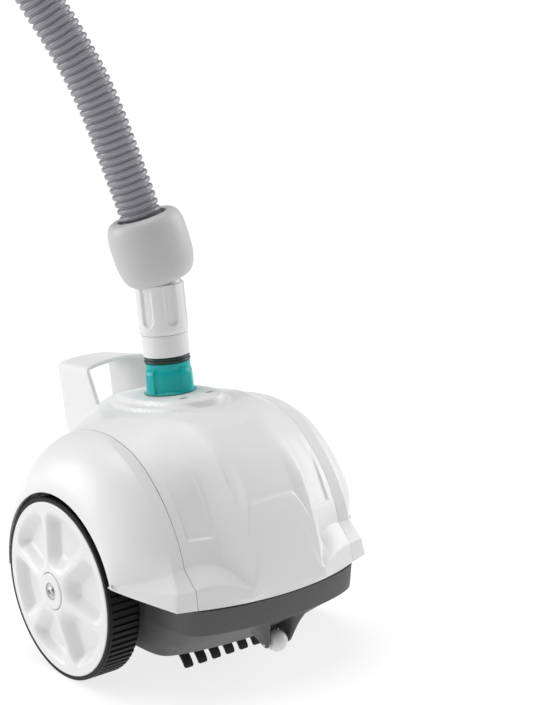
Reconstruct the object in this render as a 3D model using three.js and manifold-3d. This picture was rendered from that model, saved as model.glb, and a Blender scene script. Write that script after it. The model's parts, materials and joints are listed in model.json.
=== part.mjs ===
// Suction-driven pool cleaner: two big driven wheels, a domed cover in three pieces, a dark base
// with a suction mouth, a turbine and gear train inside, and a swivelling hose with its float.
// Millimetres, +Z up, the nose faces -Y. The wheels stand on z = 0.
import * as THREE from 'three';
import { mergeVertices } from 'three/addons/utils/BufferGeometryUtils.js';
import Module from 'manifold-3d';

const wasm = await Module();
wasm.setup();

// ---------------------------------------------------------------- driving dimensions
const GAP = 0.3;                 // air between touching pieces
const FRONT_Y = -185;            // nose of the cover
const REAR_Y = 185;              // rear edge of the handle
const AXLE_Y = 11;
const TYRE_R = 98.5;
const AXLE_Z = TYRE_R;
const TREAD_DEPTH = 2.2;
const TREAD_RIBS = 38;          // coarse ribs: one for each pair on the finished tread
const DISC_R = 94;
const WHEEL_IN_X = 119.5;        // inner side of the tyre
const WHEEL_OUT_X = 157.5;       // outer side of the tyre and rim of the disc
const HUB_OUT_X = 165.5;         // the disc is dished outwards to here
const HUB_R = 19.5;              // the round cap over the axle's end
const SEAM_X = 100;              // seam between the middle cover and each side cover
const FENDER_X = 155;            // outer edge of the side cover
const ARCH_R = 103.5;            // wheel arch radius
const COVER_WALL = 3;
const PANEL_X = 43;              // half width of the raised middle panel
const COVER_BOTTOM_Z = 109;
const BASE_TOP_Z = 107.5;
const BASE_CREASE_Z = 79;
const BASE_FLOOR_Z = 38;
const BASE_HALF_X = 112;
const BASE_WALL = 3;
const DECK_Y = 13;               // where the outlet leaves the deck
const DECK_Z = 282;
const TILT = THREE.MathUtils.degToRad(5);   // the deck and the outlet lean back
const OUTLET_R = 22;
const COLLAR_BASE_R = 29;
const COLLAR_TOP_R = 24.5;
const COLLAR_HEIGHT = 32;
const SLEEVE_R = 25;
const HOSE_R = 22.5;
const HOSE_WALL = 2.5;
const FLOAT_HALF = 36;
const ROLLER_R = 11.5;
const ROLLER_Y = -157;
const ROLLER_Z = 47;
const MODULE = 1.5;              // gear tooth module
const WHEEL_TEETH = 40;
const IDLER_TEETH = 30;
const PINION_TEETH = 12;
const GEAR_IN_X = 84;
const GEAR_WIDTH = 8;
const TURBINE_Z = AXLE_Z + 66.5;
const HANDLE_X = 35;             // outer faces of the handle's legs, at the rear
const HANDLE_PLATE = 5;
const HANDLE_DEPTH = 60;         // front to rear, along the top
const HANDLE_SPLAY = 0.2;        // how much wider the front is
const HANDLE_REACH = 9;          // how far the splayed front moves forward
const HANDLE_CROWN = 4;
const FINGER_PITCH = 18.2;
const FINGER_WIDTH = 12.4;

// ---------------------------------------------------------------- materials
const finish = (color, roughness, metalness = 0) =>
  new THREE.MeshStandardMaterial({ color, roughness, metalness });
const whiteShell = finish(0xe8e8e8, 0.4);
const greyBase = finish(0x565455, 0.6);
const blackRubber = finish(0x1c1c1c, 0.85);
const tealPlastic = finish(0x00a3a1, 0.25);
const sealRubber = finish(0x06302c, 0.5);
const floatFoam = finish(0xc8c8c4, 0.7);
const hoseGrey = finish(0x8f8e94, 0.45);
const steel = finish(0xb0b2b5, 0.3, 1);
const gearPlastic = finish(0xf0efe8, 0.5);

// ---------------------------------------------------------------- solids
function toSolid(geometry) {
  const bare = geometry.index ? geometry.toNonIndexed() : geometry.clone();
  bare.deleteAttribute('normal');
  bare.deleteAttribute('uv');
  const merged = mergeVertices(bare, 1e-4);
  return new wasm.Manifold(new wasm.Mesh({
    numProp: 3,
    vertProperties: new Float32Array(merged.attributes.position.array),
    triVerts: new Uint32Array(merged.index.array),
  }));
}

function toGeometry(solid) {
  const mesh = solid.getMesh();
  const geometry = new THREE.BufferGeometry();
  geometry.setAttribute('position', new THREE.BufferAttribute(mesh.vertProperties, 3));
  geometry.setIndex(new THREE.BufferAttribute(mesh.triVerts, 1));
  return geometry;
}

const cut = (geometry, ...tools) =>
  toGeometry(tools.reduce((solid, tool) => solid.subtract(toSolid(tool)), toSolid(geometry)));
const join = (geometry, ...more) =>
  toGeometry(more.reduce((solid, other) => solid.add(toSolid(other)), toSolid(geometry)));

// A box from its two corners.
function block(x0, y0, z0, x1, y1, z1) {
  const box = new THREE.BoxGeometry(x1 - x0, y1 - y0, z1 - z0);
  return box.translate((x0 + x1) / 2, (y0 + y1) / 2, (z0 + z1) / 2);
}

// A turned piece: profile points are [radius, height] on +Z, going round anticlockwise.
function turned(profile, segments = 40) {
  const points = profile.map(([radius, height]) => new THREE.Vector2(radius, height));
  if (profile[0][0] > 0) points.push(points[0].clone());
  return new THREE.LatheGeometry(points, segments).rotateX(Math.PI / 2);
}

const rod = (radius, from, to, segments) =>
  turned([[0, from], [radius, from], [radius, to], [0, to]], segments);
const ring = (inner, outer, from, to, segments) =>
  turned([[inner, from], [outer, from], [outer, to], [inner, to]], segments);

// Turn a piece that lies on +Z so that it lies on +X, at a place in the side view.
const onX = (geometry, y, z) => geometry.rotateY(Math.PI / 2).translate(0, y, z);
// Lay a piece that lies on +Z along the leaning outlet axis, measured from the deck.
const onOutlet = (geometry) => geometry.rotateX(-TILT).translate(0, DECK_Y, DECK_Z);

// A plate cut to a side-view outline of [y, z] points, between two x values.
function sidePlate(outline, x0, x1, steps = 1) {
  const shape = new THREE.Shape(outline.map(([y, z]) => new THREE.Vector2(y, z)));
  const plate = new THREE.ExtrudeGeometry(shape, { depth: x1 - x0, steps, bevelEnabled: false });
  plate.applyMatrix4(new THREE.Matrix4().set(0, 0, 1, x0, 1, 0, 0, 0, 0, 1, 0, 0, 0, 0, 0, 1));
  return plate;
}

// A closed mesh from two grids of points, row by row, joined round their edges.
function closeGrids(outer, inner) {
  const rows = outer.length;
  const columns = outer[0].length;
  const positions = [...outer.flat(), ...inner.flat()].flatMap((p) => [p.x, p.y, p.z]);
  const at = (side, i, j) => side * rows * columns + i * columns + j;
  const index = [];
  const quad = (a, b, c, d) => index.push(a, b, c, a, c, d);
  for (let i = 0; i < rows - 1; i += 1) {
    for (let j = 0; j < columns - 1; j += 1) {
      quad(at(0, i, j), at(0, i + 1, j), at(0, i + 1, j + 1), at(0, i, j + 1));
      quad(at(1, i, j), at(1, i, j + 1), at(1, i + 1, j + 1), at(1, i + 1, j));
    }
  }
  for (let i = 0; i < rows - 1; i += 1) {
    quad(at(0, i + 1, 0), at(0, i, 0), at(1, i, 0), at(1, i + 1, 0));
    quad(at(0, i, columns - 1), at(0, i + 1, columns - 1), at(1, i + 1, columns - 1),
      at(1, i, columns - 1));
  }
  for (let j = 0; j < columns - 1; j += 1) {
    quad(at(0, 0, j), at(0, 0, j + 1), at(1, 0, j + 1), at(1, 0, j));
    quad(at(0, rows - 1, j + 1), at(0, rows - 1, j), at(1, rows - 1, j), at(1, rows - 1, j + 1));
  }
  const geometry = new THREE.BufferGeometry();
  geometry.setAttribute('position', new THREE.Float32BufferAttribute(positions, 3));
  geometry.setIndex(index);
  return geometry;
}

// A solid through closed rings of points, one above the other, with flat ends.
function stackRings(rings) {
  const count = rings[0].length;
  const positions = rings.flat().flatMap((p) => [p.x, p.y, p.z]);
  const index = [];
  for (let i = 0; i < rings.length - 1; i += 1) {
    for (let j = 0; j < count; j += 1) {
      const a = i * count + j;
      const b = i * count + ((j + 1) % count);
      index.push(a, b, b + count, a, b + count, a + count);
    }
  }
  const flat = rings[0].map((p) => new THREE.Vector2(p.x, p.y));
  const last = (rings.length - 1) * count;
  for (const [a, b, c] of THREE.ShapeUtils.triangulateShape(flat, [])) {
    index.push(a, c, b, last + a, last + b, last + c);
  }
  const geometry = new THREE.BufferGeometry();
  geometry.setAttribute('position', new THREE.Float32BufferAttribute(positions, 3));
  geometry.setIndex(index);
  return geometry;
}

// ---------------------------------------------------------------- the cover's shape
// Both outlines run from the front bottom edge over the top to the rear bottom edge, as [y, z].
const MIDDLE_OUTLINE = [
  [FRONT_Y, COVER_BOTTOM_Z], [-184, 126], [-180, 146], [-173, 174], [-161, 205], [-141, 236],
  [-97, 268], [-50, 287.5], [DECK_Y, DECK_Z], [76, 276.5], [112, 266], [141, 236], [156, 190],
  [162, 150], [163, COVER_BOTTOM_Z],
];
const SEAM_OUTLINE = [
  [-163, COVER_BOTTOM_Z], [-161, 129.5], [-142, 147], [-134, 173], [-116, 203], [-85, 236],
  [-49, 254], [-18, 261], [DECK_Y, 263], [50, 259], [86, 245], [115, 219], [133, 184],
  [141, 147], [143, COVER_BOTTOM_Z],
];
const ARCH_START = THREE.MathUtils.degToRad(163);
const ARCH_CORNER = 2;           // the first points of the outline meet at the arch's front corner

function archPoint(j, count) {
  const step = Math.max(j - ARCH_CORNER, 0) / (count - 1 - ARCH_CORNER);
  const angle = ARCH_START * (1 - step);
  const fan = Math.min(j - ARCH_CORNER, 0);
  return [AXLE_Y + ARCH_R * Math.cos(angle) + fan * 0.3, AXLE_Z + ARCH_R * Math.sin(angle) + fan];
}

const mix = (a, b, t) => a + (b - a) * t;
const mixPoint = ([y0, z0], [y1, z1], t) => [mix(y0, y1, t), mix(z0, z1, t)];

// One cross-section of the whole cover at a distance x from the middle.
function coverSection(x) {
  const away = Math.abs(x);
  if (away <= PANEL_X) return MIDDLE_OUTLINE;
  if (away <= SEAM_X) {
    const t = ((away - PANEL_X) / (SEAM_X - PANEL_X)) ** 1.5;
    return MIDDLE_OUTLINE.map((point, j) => mixPoint(point, SEAM_OUTLINE[j], t));
  }
  const s = (away - SEAM_X) / (FENDER_X - SEAM_X);
  const t = 1 - Math.sqrt(1 - Math.min(s, 1) ** 2);
  return SEAM_OUTLINE.map((point, j) => mixPoint(point, archPoint(j, SEAM_OUTLINE.length), t));
}

// A wall of the cover through the given x stations: the outer skin, and an inner skin that is
// drawn in towards the middle of the body in the side view.
function coverWall(stations, wall) {
  const outer = stations.map((x) => coverSection(x).map(([y, z]) => new THREE.Vector3(x, y, z)));
  const inner = outer.map((row) => row.map((p, j) => {
    const before = row[Math.max(j - 1, 0)];
    const after = row[Math.min(j + 1, row.length - 1)];
    const along = new THREE.Vector2(after.y - before.y, after.z - before.z).normalize();
    const atEnd = j === 0 || j === row.length - 1;
    const z = atEnd ? p.z : p.z - along.x * wall;
    return new THREE.Vector3(p.x, p.y + along.y * wall, z);
  }));
  return closeGrids(outer, inner);
}

// ---------------------------------------------------------------- assembly helpers
const assembly = new THREE.Group();

function add(name, geometry, material) {
  const mesh = new THREE.Mesh(geometry, material);
  mesh.name = name;
  assembly.add(mesh);
}

const SIDES = [['left', -1], ['right', 1]];

// A mirrored copy for the other side keeps its faces pointing out.
function onSide(geometry, sign) {
  if (sign > 0) return geometry;
  const mirrored = geometry.index ? geometry.toNonIndexed() : geometry.clone();
  const p = mirrored.attributes.position;
  for (let i = 0; i < p.count; i += 3) {
    const corners = [0, 2, 1].map((k) => [p.getX(i + k), p.getY(i + k), p.getZ(i + k)]);
    corners.forEach(([x, y, z], k) => p.setXYZ(i + k, -x, y, z));
  }
  return mirrored;
}

// ---------------------------------------------------------------- covers and handle
function makeTopCover() {
  const reach = SEAM_X - GAP / 2;
  const half = [0, 22, PANEL_X, 54, 66, 78, 89, reach];
  const stations = [...half.slice(1).reverse().map((x) => -x), ...half];
  const outletHole = onOutlet(rod(OUTLET_R + 1, -12, 12, 32));
  const slots = [-17, 17].map((x) => block(x - 5.5, -37.5, 270, x + 5.5, -33.5, 300));
  return cut(coverWall(stations, COVER_WALL), outletHole, ...slots);
}

function makeSideCover() {
  const stations = [SEAM_X + GAP / 2, 112, 124, 135, 144, 151, FENDER_X];
  return coverWall(stations, COVER_WALL);
}

// The handle is a bent strap: two upright legs and a top bar with rounded corners.
function makeHandle() {
  const leg = [[101, 240], [125, 296], [REAR_Y, 290], [173, 200], [150, 200]];
  const inside = HANDLE_X - HANDLE_PLATE;
  const blank = sidePlate(leg, -HANDLE_X, HANDLE_X, 6);
  const opening = [[60, 150], [60, 295], [90, 293.5], [200, 283.5], [200, 150]];
  const window = sidePlate(opening, -inside, inside, 6);
  const body = coverWall([-66, -54, -PANEL_X, -22, 0, 22, PANEL_X, 54, 66], 90);
  return cut(splay(blank), splay(window), body.translate(0, GAP * 2, GAP * 2));
}

// The legs stand further apart at the front, and the top is crowned across.
function splay(geometry) {
  const points = geometry.getAttribute('position');
  for (let i = 0; i < points.count; i += 1) {
    const [x, y, z] = [points.getX(i), points.getY(i), points.getZ(i)];
    const forward = (REAR_Y - y) / HANDLE_DEPTH;
    points.setX(i, x * (1 + HANDLE_SPLAY * forward));
    points.setY(i, y - HANDLE_REACH * forward);
    points.setZ(i, z + HANDLE_CROWN * (1 - (x / HANDLE_X) ** 2));
  }
  return geometry;
}

// ---------------------------------------------------------------- base
// The plan outline of the base: bowed front and rear, straight sides, cut corners.
function basePlan(frontY, rearY, halfX, z) {
  const bow = 16;
  const halfCurve = [[0, 0], [0.3, 0.09], [0.6, 0.36], [0.88, 0.8]];
  const right = halfCurve.map(([x, drop]) => [x * halfX, drop * bow]);
  const front = right.map(([x, drop]) => [x, frontY + drop]);
  const rear = right.map(([x, drop]) => [x, rearY - drop]).reverse();
  const side = [[halfX, frontY + 28], [halfX, rearY - 28]];
  const rightHalf = [...front, ...side, ...rear];
  const leftHalf = rightHalf.slice(1, -1).reverse().map(([x, y]) => [-x, y]);
  return [...rightHalf, ...leftHalf].map(([x, y]) => new THREE.Vector3(x, y, z));
}

function makeBaseTray() {
  const outer = stackRings([
    basePlan(-117, 108, 104, BASE_FLOOR_Z),
    basePlan(-177, 150, BASE_HALF_X - 1, BASE_CREASE_Z),
    basePlan(FRONT_Y + 0.8, 156, BASE_HALF_X, BASE_TOP_Z),
  ]);
  const w = BASE_WALL;
  const inner = stackRings([
    basePlan(-117 + w, 108 - w, 104 - w, BASE_FLOOR_Z + w),
    basePlan(-177 + w, 150 - w, BASE_HALF_X - 1 - w, BASE_CREASE_Z + w / 2),
    basePlan(FRONT_Y + 0.8 + w, 156 - w, BASE_HALF_X - w, BASE_TOP_Z + 1),
  ]);
  const prongOutline = [[-170, 76.5], [-166, 56], [-161, 37], [-156, 35], [-148, 41], [-139, 55.4]];
  const prongs = [-1, 1].map((side) =>
    sidePlate(prongOutline, side * 14.5 - 2, side * 14.5 + 2));
  const tray = join(cut(outer, inner), ...prongs);
  const pinHole = onX(rod(2.3, -20, 20, 16), ROLLER_Y, ROLLER_Z);
  const mouth = block(-56, AXLE_Y - 31, 30, 56, AXLE_Y + 31, 50);
  const axleSlots = [-1, 1].map((side) =>
    block(side * 112 - 12, AXLE_Y - 12, AXLE_Z - 12, side * 112 + 12, AXLE_Y + 12, 120));
  const rollerRoom = onX(rod(ROLLER_R + 1.5, -12.3, 12.3, 24), ROLLER_Y, ROLLER_Z);
  const screwHoles = BASE_SCREWS.map(([x, y]) => rod(2.3, 30, 60, 12).translate(x, y, 0));
  return cut(tray, pinHole, mouth, ...axleSlots, rollerRoom, ...screwHoles);
}

const BASE_SCREWS = [[-84, -70], [84, -70], [-84, 80], [84, 80]];

// A pan-head screw driven up into the base floor.
function makeBaseScrew([x, y]) {
  const top = BASE_FLOOR_Z - GAP;
  const profile = [[0, top - 2.5], [3.2, top - 2.5], [4, top], [2, top], [2, top + 16], [0, top + 16]];
  return turned(profile, 8).translate(x, y, 0);
}

// The nozzle plate under the base: a raised frame round the suction mouth.
const PLATE_BOTTOM_Z = 24;
function makeSuctionPlate() {
  const plate = block(-62, AXLE_Y - 46, PLATE_BOTTOM_Z, 62, AXLE_Y + 46, BASE_FLOOR_Z - GAP);
  return cut(plate, block(-50, AXLE_Y - 26, 0, 50, AXLE_Y + 26, 60));
}

// A rubber comb: a strip against the nozzle plate, with six fingers that splay to the floor.
function makeComb() {
  const face = AXLE_Y - 46 - GAP;
  const strip = block(-53, face - 4, 25, 53, face, 37);
  const finger = [
    [face - 4, 30], [face - 6, 18], [face - 29, 0.5], [face - 24, 0.5], [face - 1.5, 19], [face, 30],
  ];
  const fingers = [-2.5, -1.5, -0.5, 0.5, 1.5, 2.5].map((place) => {
    const middle = place * FINGER_PITCH;
    return sidePlate(finger, middle - FINGER_WIDTH / 2, middle + FINGER_WIDTH / 2);
  });
  return join(strip, ...fingers);
}

// ---------------------------------------------------------------- wheels
function makeTyre() {
  const pitch = (2 * Math.PI) / TREAD_RIBS;
  const outline = [];
  for (let i = 0; i < TREAD_RIBS; i += 1) {
    const middle = -Math.PI / 2 + i * pitch;
    const valley = TYRE_R - TREAD_DEPTH;
    for (const [radius, offset] of [[valley, -0.36], [TYRE_R, -0.24], [TYRE_R, 0.24], [valley, 0.36]]) {
      const angle = middle + offset * pitch;
      outline.push([AXLE_Y + radius * Math.cos(angle), AXLE_Z + radius * Math.sin(angle)]);
    }
  }
  const blank = sidePlate(outline, WHEEL_IN_X, WHEEL_OUT_X - 0.5);
  return cut(blank, onX(rod(DISC_R + GAP, 100, 170, 36), AXLE_Y, AXLE_Z));
}

// The disc carries six spokes between six rounded pockets.
function makeWheelDisc() {
  const disc = turned([
    [8.3, 122], [14, 122], [17, 149], [24, 151], [84, 150], [90, 147], [90, WHEEL_IN_X], [DISC_R, WHEEL_IN_X],
    [DISC_R, WHEEL_OUT_X], [60, 161.5], [30, HUB_OUT_X - 1], [HUB_R + GAP, HUB_OUT_X - 0.4],
    [HUB_R + GAP, 159], [8.3, 159],
  ], 36);
  const pockets = [];
  for (let i = 0; i < 6; i += 1) {
    const middle = (i * Math.PI) / 3;
    const spread = (radius, halfWidth, side) => {
      const angle = middle + side * (Math.PI / 6 - halfWidth / radius);
      return [radius * Math.cos(angle), radius * Math.sin(angle)];
    };
    const outline = [
      spread(34, 6, 1), spread(52, 7, 1), spread(72, 9, 1), spread(80, 17, 1),
      [82 * Math.cos(middle), 82 * Math.sin(middle)],
      spread(80, 17, -1), spread(72, 9, -1), spread(52, 7, -1), spread(34, 6, -1),
    ].map(([y, z]) => [y, z]).reverse();
    pockets.push(sidePlate(outline, 153.5, 180));
  }
  return cut(onX(disc, 0, 0), ...pockets).translate(0, AXLE_Y, AXLE_Z);
}

const makeHubCap = () => onX(turned([
  [3, 159.3], [HUB_R, 159.3], [HUB_R, HUB_OUT_X], [HUB_R - 2, HUB_OUT_X + 0.8], [9, HUB_OUT_X + 0.8],
  [9, HUB_OUT_X - 0.8], [3, HUB_OUT_X - 0.8],
], 24), AXLE_Y, AXLE_Z);
const makeWheelWasher = () => onX(ring(2.6, 8.6, HUB_OUT_X - 0.5, HUB_OUT_X + 0.3, 16), AXLE_Y, AXLE_Z);
const makeWheelScrew = () => onX(turned([
  [0, 153], [2.2, 153], [2.2, HUB_OUT_X + 0.6], [5.5, HUB_OUT_X + 0.6], [4.4, HUB_OUT_X + 2.2],
  [0, HUB_OUT_X + 2.8],
], 16), AXLE_Y, AXLE_Z);
// The stub axle turns with its wheel and carries the wheel gear at its inner end.
const makeStubAxle = () => onX(turned([
  [0, GEAR_IN_X - 6], [6, GEAR_IN_X - 6], [6, 108], [8, 108], [8, 158.7], [2.5, 158.7], [2.5, 150], [0, 150],
], 20), AXLE_Y, AXLE_Z);

// ---------------------------------------------------------------- drive train
function gear(teeth, bore, phase) {
  const pitchR = (MODULE * teeth) / 2;
  const step = (2 * Math.PI) / teeth;
  const outline = [];
  for (let i = 0; i < teeth; i += 1) {
    const middle = phase + i * step;
    const flank = [[-1.2, -0.35], [0.85, -0.1], [0.85, 0.1], [-1.2, 0.35]];
    for (const [height, width] of flank) {
      const radius = pitchR + height * MODULE;
      const angle = middle + width * step;
      outline.push([radius * Math.cos(angle), radius * Math.sin(angle)]);
    }
  }
  const blank = sidePlate(outline, GEAR_IN_X, GEAR_IN_X + GEAR_WIDTH);
  return cut(blank, onX(rod(bore, GEAR_IN_X - 5, GEAR_IN_X + GEAR_WIDTH + 5, 16), 0, 0));
}

const reach = (teethA, teethB) => (MODULE * (teethA + teethB)) / 2;
// The idler meshes with both the wheel gear below it and the pinion above it.
const WHEEL_TO_IDLER = reach(WHEEL_TEETH, IDLER_TEETH);
const IDLER_TO_PINION = reach(IDLER_TEETH, PINION_TEETH);
const RISE = TURBINE_Z - AXLE_Z;
const IDLER_UP = (WHEEL_TO_IDLER ** 2 - IDLER_TO_PINION ** 2 + RISE ** 2) / (2 * RISE);
const IDLER_Y = AXLE_Y - Math.sqrt(WHEEL_TO_IDLER ** 2 - IDLER_UP ** 2);
const IDLER_Z = AXLE_Z + IDLER_UP;

// Phases that put a tooth of one gear in a gap of the next along the line of centres.
const toIdler = Math.atan2(IDLER_Z - AXLE_Z, IDLER_Y - AXLE_Y);
const toPinion = Math.atan2(TURBINE_Z - IDLER_Z, AXLE_Y - IDLER_Y);
const WHEEL_PHASE = toIdler;
const IDLER_PHASE = toIdler + Math.PI + Math.PI / IDLER_TEETH;
const idlerStep = (2 * Math.PI) / IDLER_TEETH;
const idlerOffset = ((toPinion - IDLER_PHASE) / idlerStep) % 1;
const PINION_PHASE = toPinion + Math.PI + Math.PI / PINION_TEETH
  - idlerOffset * ((2 * Math.PI) / PINION_TEETH) * -1;

const makeWheelGear = () => gear(WHEEL_TEETH, 6 + GAP, WHEEL_PHASE).translate(0, AXLE_Y, AXLE_Z);
const makeIdlerGear = () => gear(IDLER_TEETH, 4.3, IDLER_PHASE).translate(0, IDLER_Y, IDLER_Z);
const makePinion = () => gear(PINION_TEETH, 3 + GAP, PINION_PHASE).translate(0, AXLE_Y, TURBINE_Z);
const makeIdlerPin = () => onX(rod(4, GEAR_IN_X - 2, 98, 24), IDLER_Y, IDLER_Z);
const makeShaftBush = () => onX(ring(3.2, 7, 94, 99, 16), AXLE_Y, TURBINE_Z);

// The carrier plate stands on the base floor and holds the axle, the idler pin and the bush.
function makeCarrier() {
  const floor = BASE_FLOOR_Z + BASE_WALL + GAP;
  const outline = [[-45, floor], [52, floor], [34, AXLE_Z + 20], [26, 178], [-4, 178], [-34, 150]];
  const plate = sidePlate(outline, 94, 99);
  const holes = [[AXLE_Y, AXLE_Z, 6.3], [IDLER_Y, IDLER_Z, 4.2], [AXLE_Y, TURBINE_Z, 7.2]];
  return cut(plate, ...holes.map(([y, z, radius]) => onX(rod(radius, 90, 103, 16), y, z)));
}

const ROTOR_R = 38;
const HOUSING_R = 44;
const HOUSING_X = 36;
function makeTurbineRotor() {
  const vanes = [];
  for (let i = 0; i < 6; i += 1) {
    const vane = block(-28, -1.5, 8, 28, 1.5, ROTOR_R);
    vanes.push(vane.rotateX((i * Math.PI) / 3));
  }
  const hub = onX(rod(10, -28, 28, 24), 0, 0);
  const bore = onX(rod(3 + GAP, -40, 40, 24), 0, 0);
  return cut(join(hub, ...vanes), bore).translate(0, AXLE_Y, TURBINE_Z);
}

// A drum round the rotor, with an inlet duct from the mouth and a neck towards the outlet.
function makeTurbineHousing() {
  const drum = onX(rod(HOUSING_R, -HOUSING_X, HOUSING_X, 28), AXLE_Y, TURBINE_Z);
  const duct = block(-36, AXLE_Y - 25, BASE_FLOOR_Z + BASE_WALL + GAP, 36, AXLE_Y + 25, TURBINE_Z);
  const neck = onOutlet(rod(26, -86, -58, 24));
  const drumInside = onX(rod(HOUSING_R - 3, -HOUSING_X + 3, HOUSING_X - 3, 28), AXLE_Y, TURBINE_Z);
  const ductInside = block(-33, AXLE_Y - 22, 30, 33, AXLE_Y + 22, TURBINE_Z);
  const neckInside = onOutlet(rod(OUTLET_R + 0.5, -73, -50, 24));
  const throat = onOutlet(rod(19, -100, -70, 24));
  const shaftHole = onX(rod(3.4, -60, 60, 24), AXLE_Y, TURBINE_Z);
  return cut(join(drum, duct, neck), drumInside, ductInside, neckInside, throat, shaftHole);
}

const makeTurbineShaft = () => onX(rod(3, -98.5, 98.5, 24), AXLE_Y, TURBINE_Z);

// ---------------------------------------------------------------- outlet, swivel and hose
const makeOutletTube = () => onOutlet(ring(19, OUTLET_R, -72, COLLAR_HEIGHT + 1, 28));

// The locking collar has shallow scallops for grip and a rounded shoulder.
function makeLockCollar() {
  const bore = OUTLET_R + GAP;
  const h = COLLAR_HEIGHT;
  const blank = turned([
    [bore, 1], [COLLAR_BASE_R, 1], [COLLAR_BASE_R, 4], [COLLAR_BASE_R - 1, 14], [COLLAR_BASE_R - 1, 21],
    [COLLAR_TOP_R + 2.6, h - 5], [COLLAR_TOP_R, h], [bore, h],
  ], 32);
  const scallops = [];
  for (let i = 0; i < 8; i += 1) {
    const angle = ((i + 0.5) * Math.PI) / 4;
    const scallop = rod(14, 5, h - 4, 16);
    scallops.push(scallop.translate(40.5 * Math.cos(angle), 40.5 * Math.sin(angle), 0));
  }
  return onOutlet(cut(blank, ...scallops));
}

const makeORing = () => onOutlet(turned([
  [OUTLET_R + GAP, COLLAR_HEIGHT + GAP], [SLEEVE_R - 0.6, COLLAR_HEIGHT + GAP], [SLEEVE_R, COLLAR_HEIGHT + 2],
  [SLEEVE_R - 0.6, COLLAR_HEIGHT + 3.6], [OUTLET_R + GAP, COLLAR_HEIGHT + 3.6],
], 28));

// The swivel sleeve turns on the outlet: a plain barrel above, a spigot inside the tube.
const SLEEVE_FROM = COLLAR_HEIGHT + 4;
const SLEEVE_TO = SLEEVE_FROM + 23;
const makeSwivelSleeve = () => onOutlet(turned([
  [15.5, COLLAR_HEIGHT - 30], [18.7, COLLAR_HEIGHT - 30], [18.7, SLEEVE_FROM], [SLEEVE_R, SLEEVE_FROM],
  [SLEEVE_R, SLEEVE_TO], [15.5, SLEEVE_TO],
], 28));

// The hose connector has long flutes with rounded ends.
const CONNECTOR_TO = SLEEVE_TO + 58;
function makeConnector() {
  const from = SLEEVE_TO + GAP;
  const blank = turned([
    [15.5, from], [SLEEVE_R - 0.5, from], [SLEEVE_R + 1.5, from + 4], [SLEEVE_R + 1.5, CONNECTOR_TO],
    [15.5, CONNECTOR_TO],
  ], 30);
  const flutes = [];
  for (let i = 0; i < 10; i += 1) {
    const angle = ((i + 0.5) * Math.PI) / 5;
    const flute = join(rod(4, from + 14, CONNECTOR_TO + 5, 8), new THREE.SphereGeometry(4, 8, 4)
      .rotateX(Math.PI / 2).translate(0, 0, from + 14));
    flutes.push(flute.translate(28.5 * Math.cos(angle), 28.5 * Math.sin(angle), 0));
  }
  return onOutlet(cut(blank, ...flutes));
}

// The hose leaves the connector along the outlet axis and leans away to the left and rear.
const HOSE_ROUTE = [
  [0, 23.4, 400.7], [-0.6, 24.6, 414], [-2.6, 26, 428], [-5.6, 28, 443], [-9, 30.4, 458], [-12.4, 33.2, 474],
  [-16.6, 37, 494], [-22.6, 41.6, 519], [-29.4, 46.8, 547], [-36.8, 52.6, 577], [-45.6, 59.4, 607],
  [-56, 67, 636], [-67.4, 75.6, 664], [-79.8, 84.8, 692], [-92.4, 94, 720], [-101.6, 100.6, 740],
];
const hoseCurve = new THREE.CatmullRomCurve3(HOSE_ROUTE.map((p) => new THREE.Vector3(...p)));

function makeHose() {
  const section = new THREE.Shape();
  section.absarc(0, 0, HOSE_R, 0, 2 * Math.PI, false);
  const bore = new THREE.Path();
  bore.absarc(0, 0, HOSE_R - HOSE_WALL, 0, 2 * Math.PI, true);
  section.holes.push(bore);
  return new THREE.ExtrudeGeometry(section, {
    steps: 10, curveSegments: 5, bevelEnabled: false, extrudePath: hoseCurve,
  });
}

// Place a piece that lies on +Z at a point of the hose, along its direction there.
function onHose(geometry, at) {
  const along = hoseCurve.getTangentAt(at);
  const turn = new THREE.Quaternion().setFromUnitVectors(new THREE.Vector3(0, 0, 1), along);
  return geometry.applyQuaternion(turn).translate(...hoseCurve.getPointAt(at).toArray());
}

// The float is a rounded barrel that slides over the hose and the connector's end.
const FLOAT_AT = 0.1;
function makeFloat() {
  const bore = HOSE_R + 3;
  const profile = [[bore, -FLOAT_HALF], [33, -FLOAT_HALF]];
  for (let i = 0; i <= 8; i += 1) {
    const angle = THREE.MathUtils.degToRad(-58 + (i * 113) / 8);
    profile.push([28 + 14.2 * Math.cos(angle), 2.6 + FLOAT_HALF * Math.sin(angle)]);
  }
  profile.push([33, FLOAT_HALF], [bore, FLOAT_HALF]);
  const connectorRoom = onOutlet(rod(SLEEVE_R + 2.5, SLEEVE_TO, CONNECTOR_TO + 4, 24));
  return cut(onHose(turned(profile, 24), FLOAT_AT), connectorRoom);
}

// The push-fit cuff on the hose's far end, with a tapered socket.
const makeHoseCuff = () => onHose(turned([
  [19, GAP], [24.5, GAP], [26.5, 12], [26.5, 50], [24.2, 52], [20.6, 52], [19, 20],
], 20), 1);

// ---------------------------------------------------------------- the nose roller
function makeGuideRoller() {
  const profile = [[2.3, -9.5], [5.5, -9.5]];
  for (let i = 0; i <= 6; i += 1) {
    const angle = THREE.MathUtils.degToRad(-54 + i * 18);
    profile.push([ROLLER_R * Math.cos(angle), ROLLER_R * Math.sin(angle)]);
  }
  profile.push([5.5, 9.5], [2.3, 9.5]);
  return onX(turned(profile, 20), ROLLER_Y, ROLLER_Z);
}
const makeRollerPin = () => onX(rod(2, -16, 16, 20), ROLLER_Y, ROLLER_Z);

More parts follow.
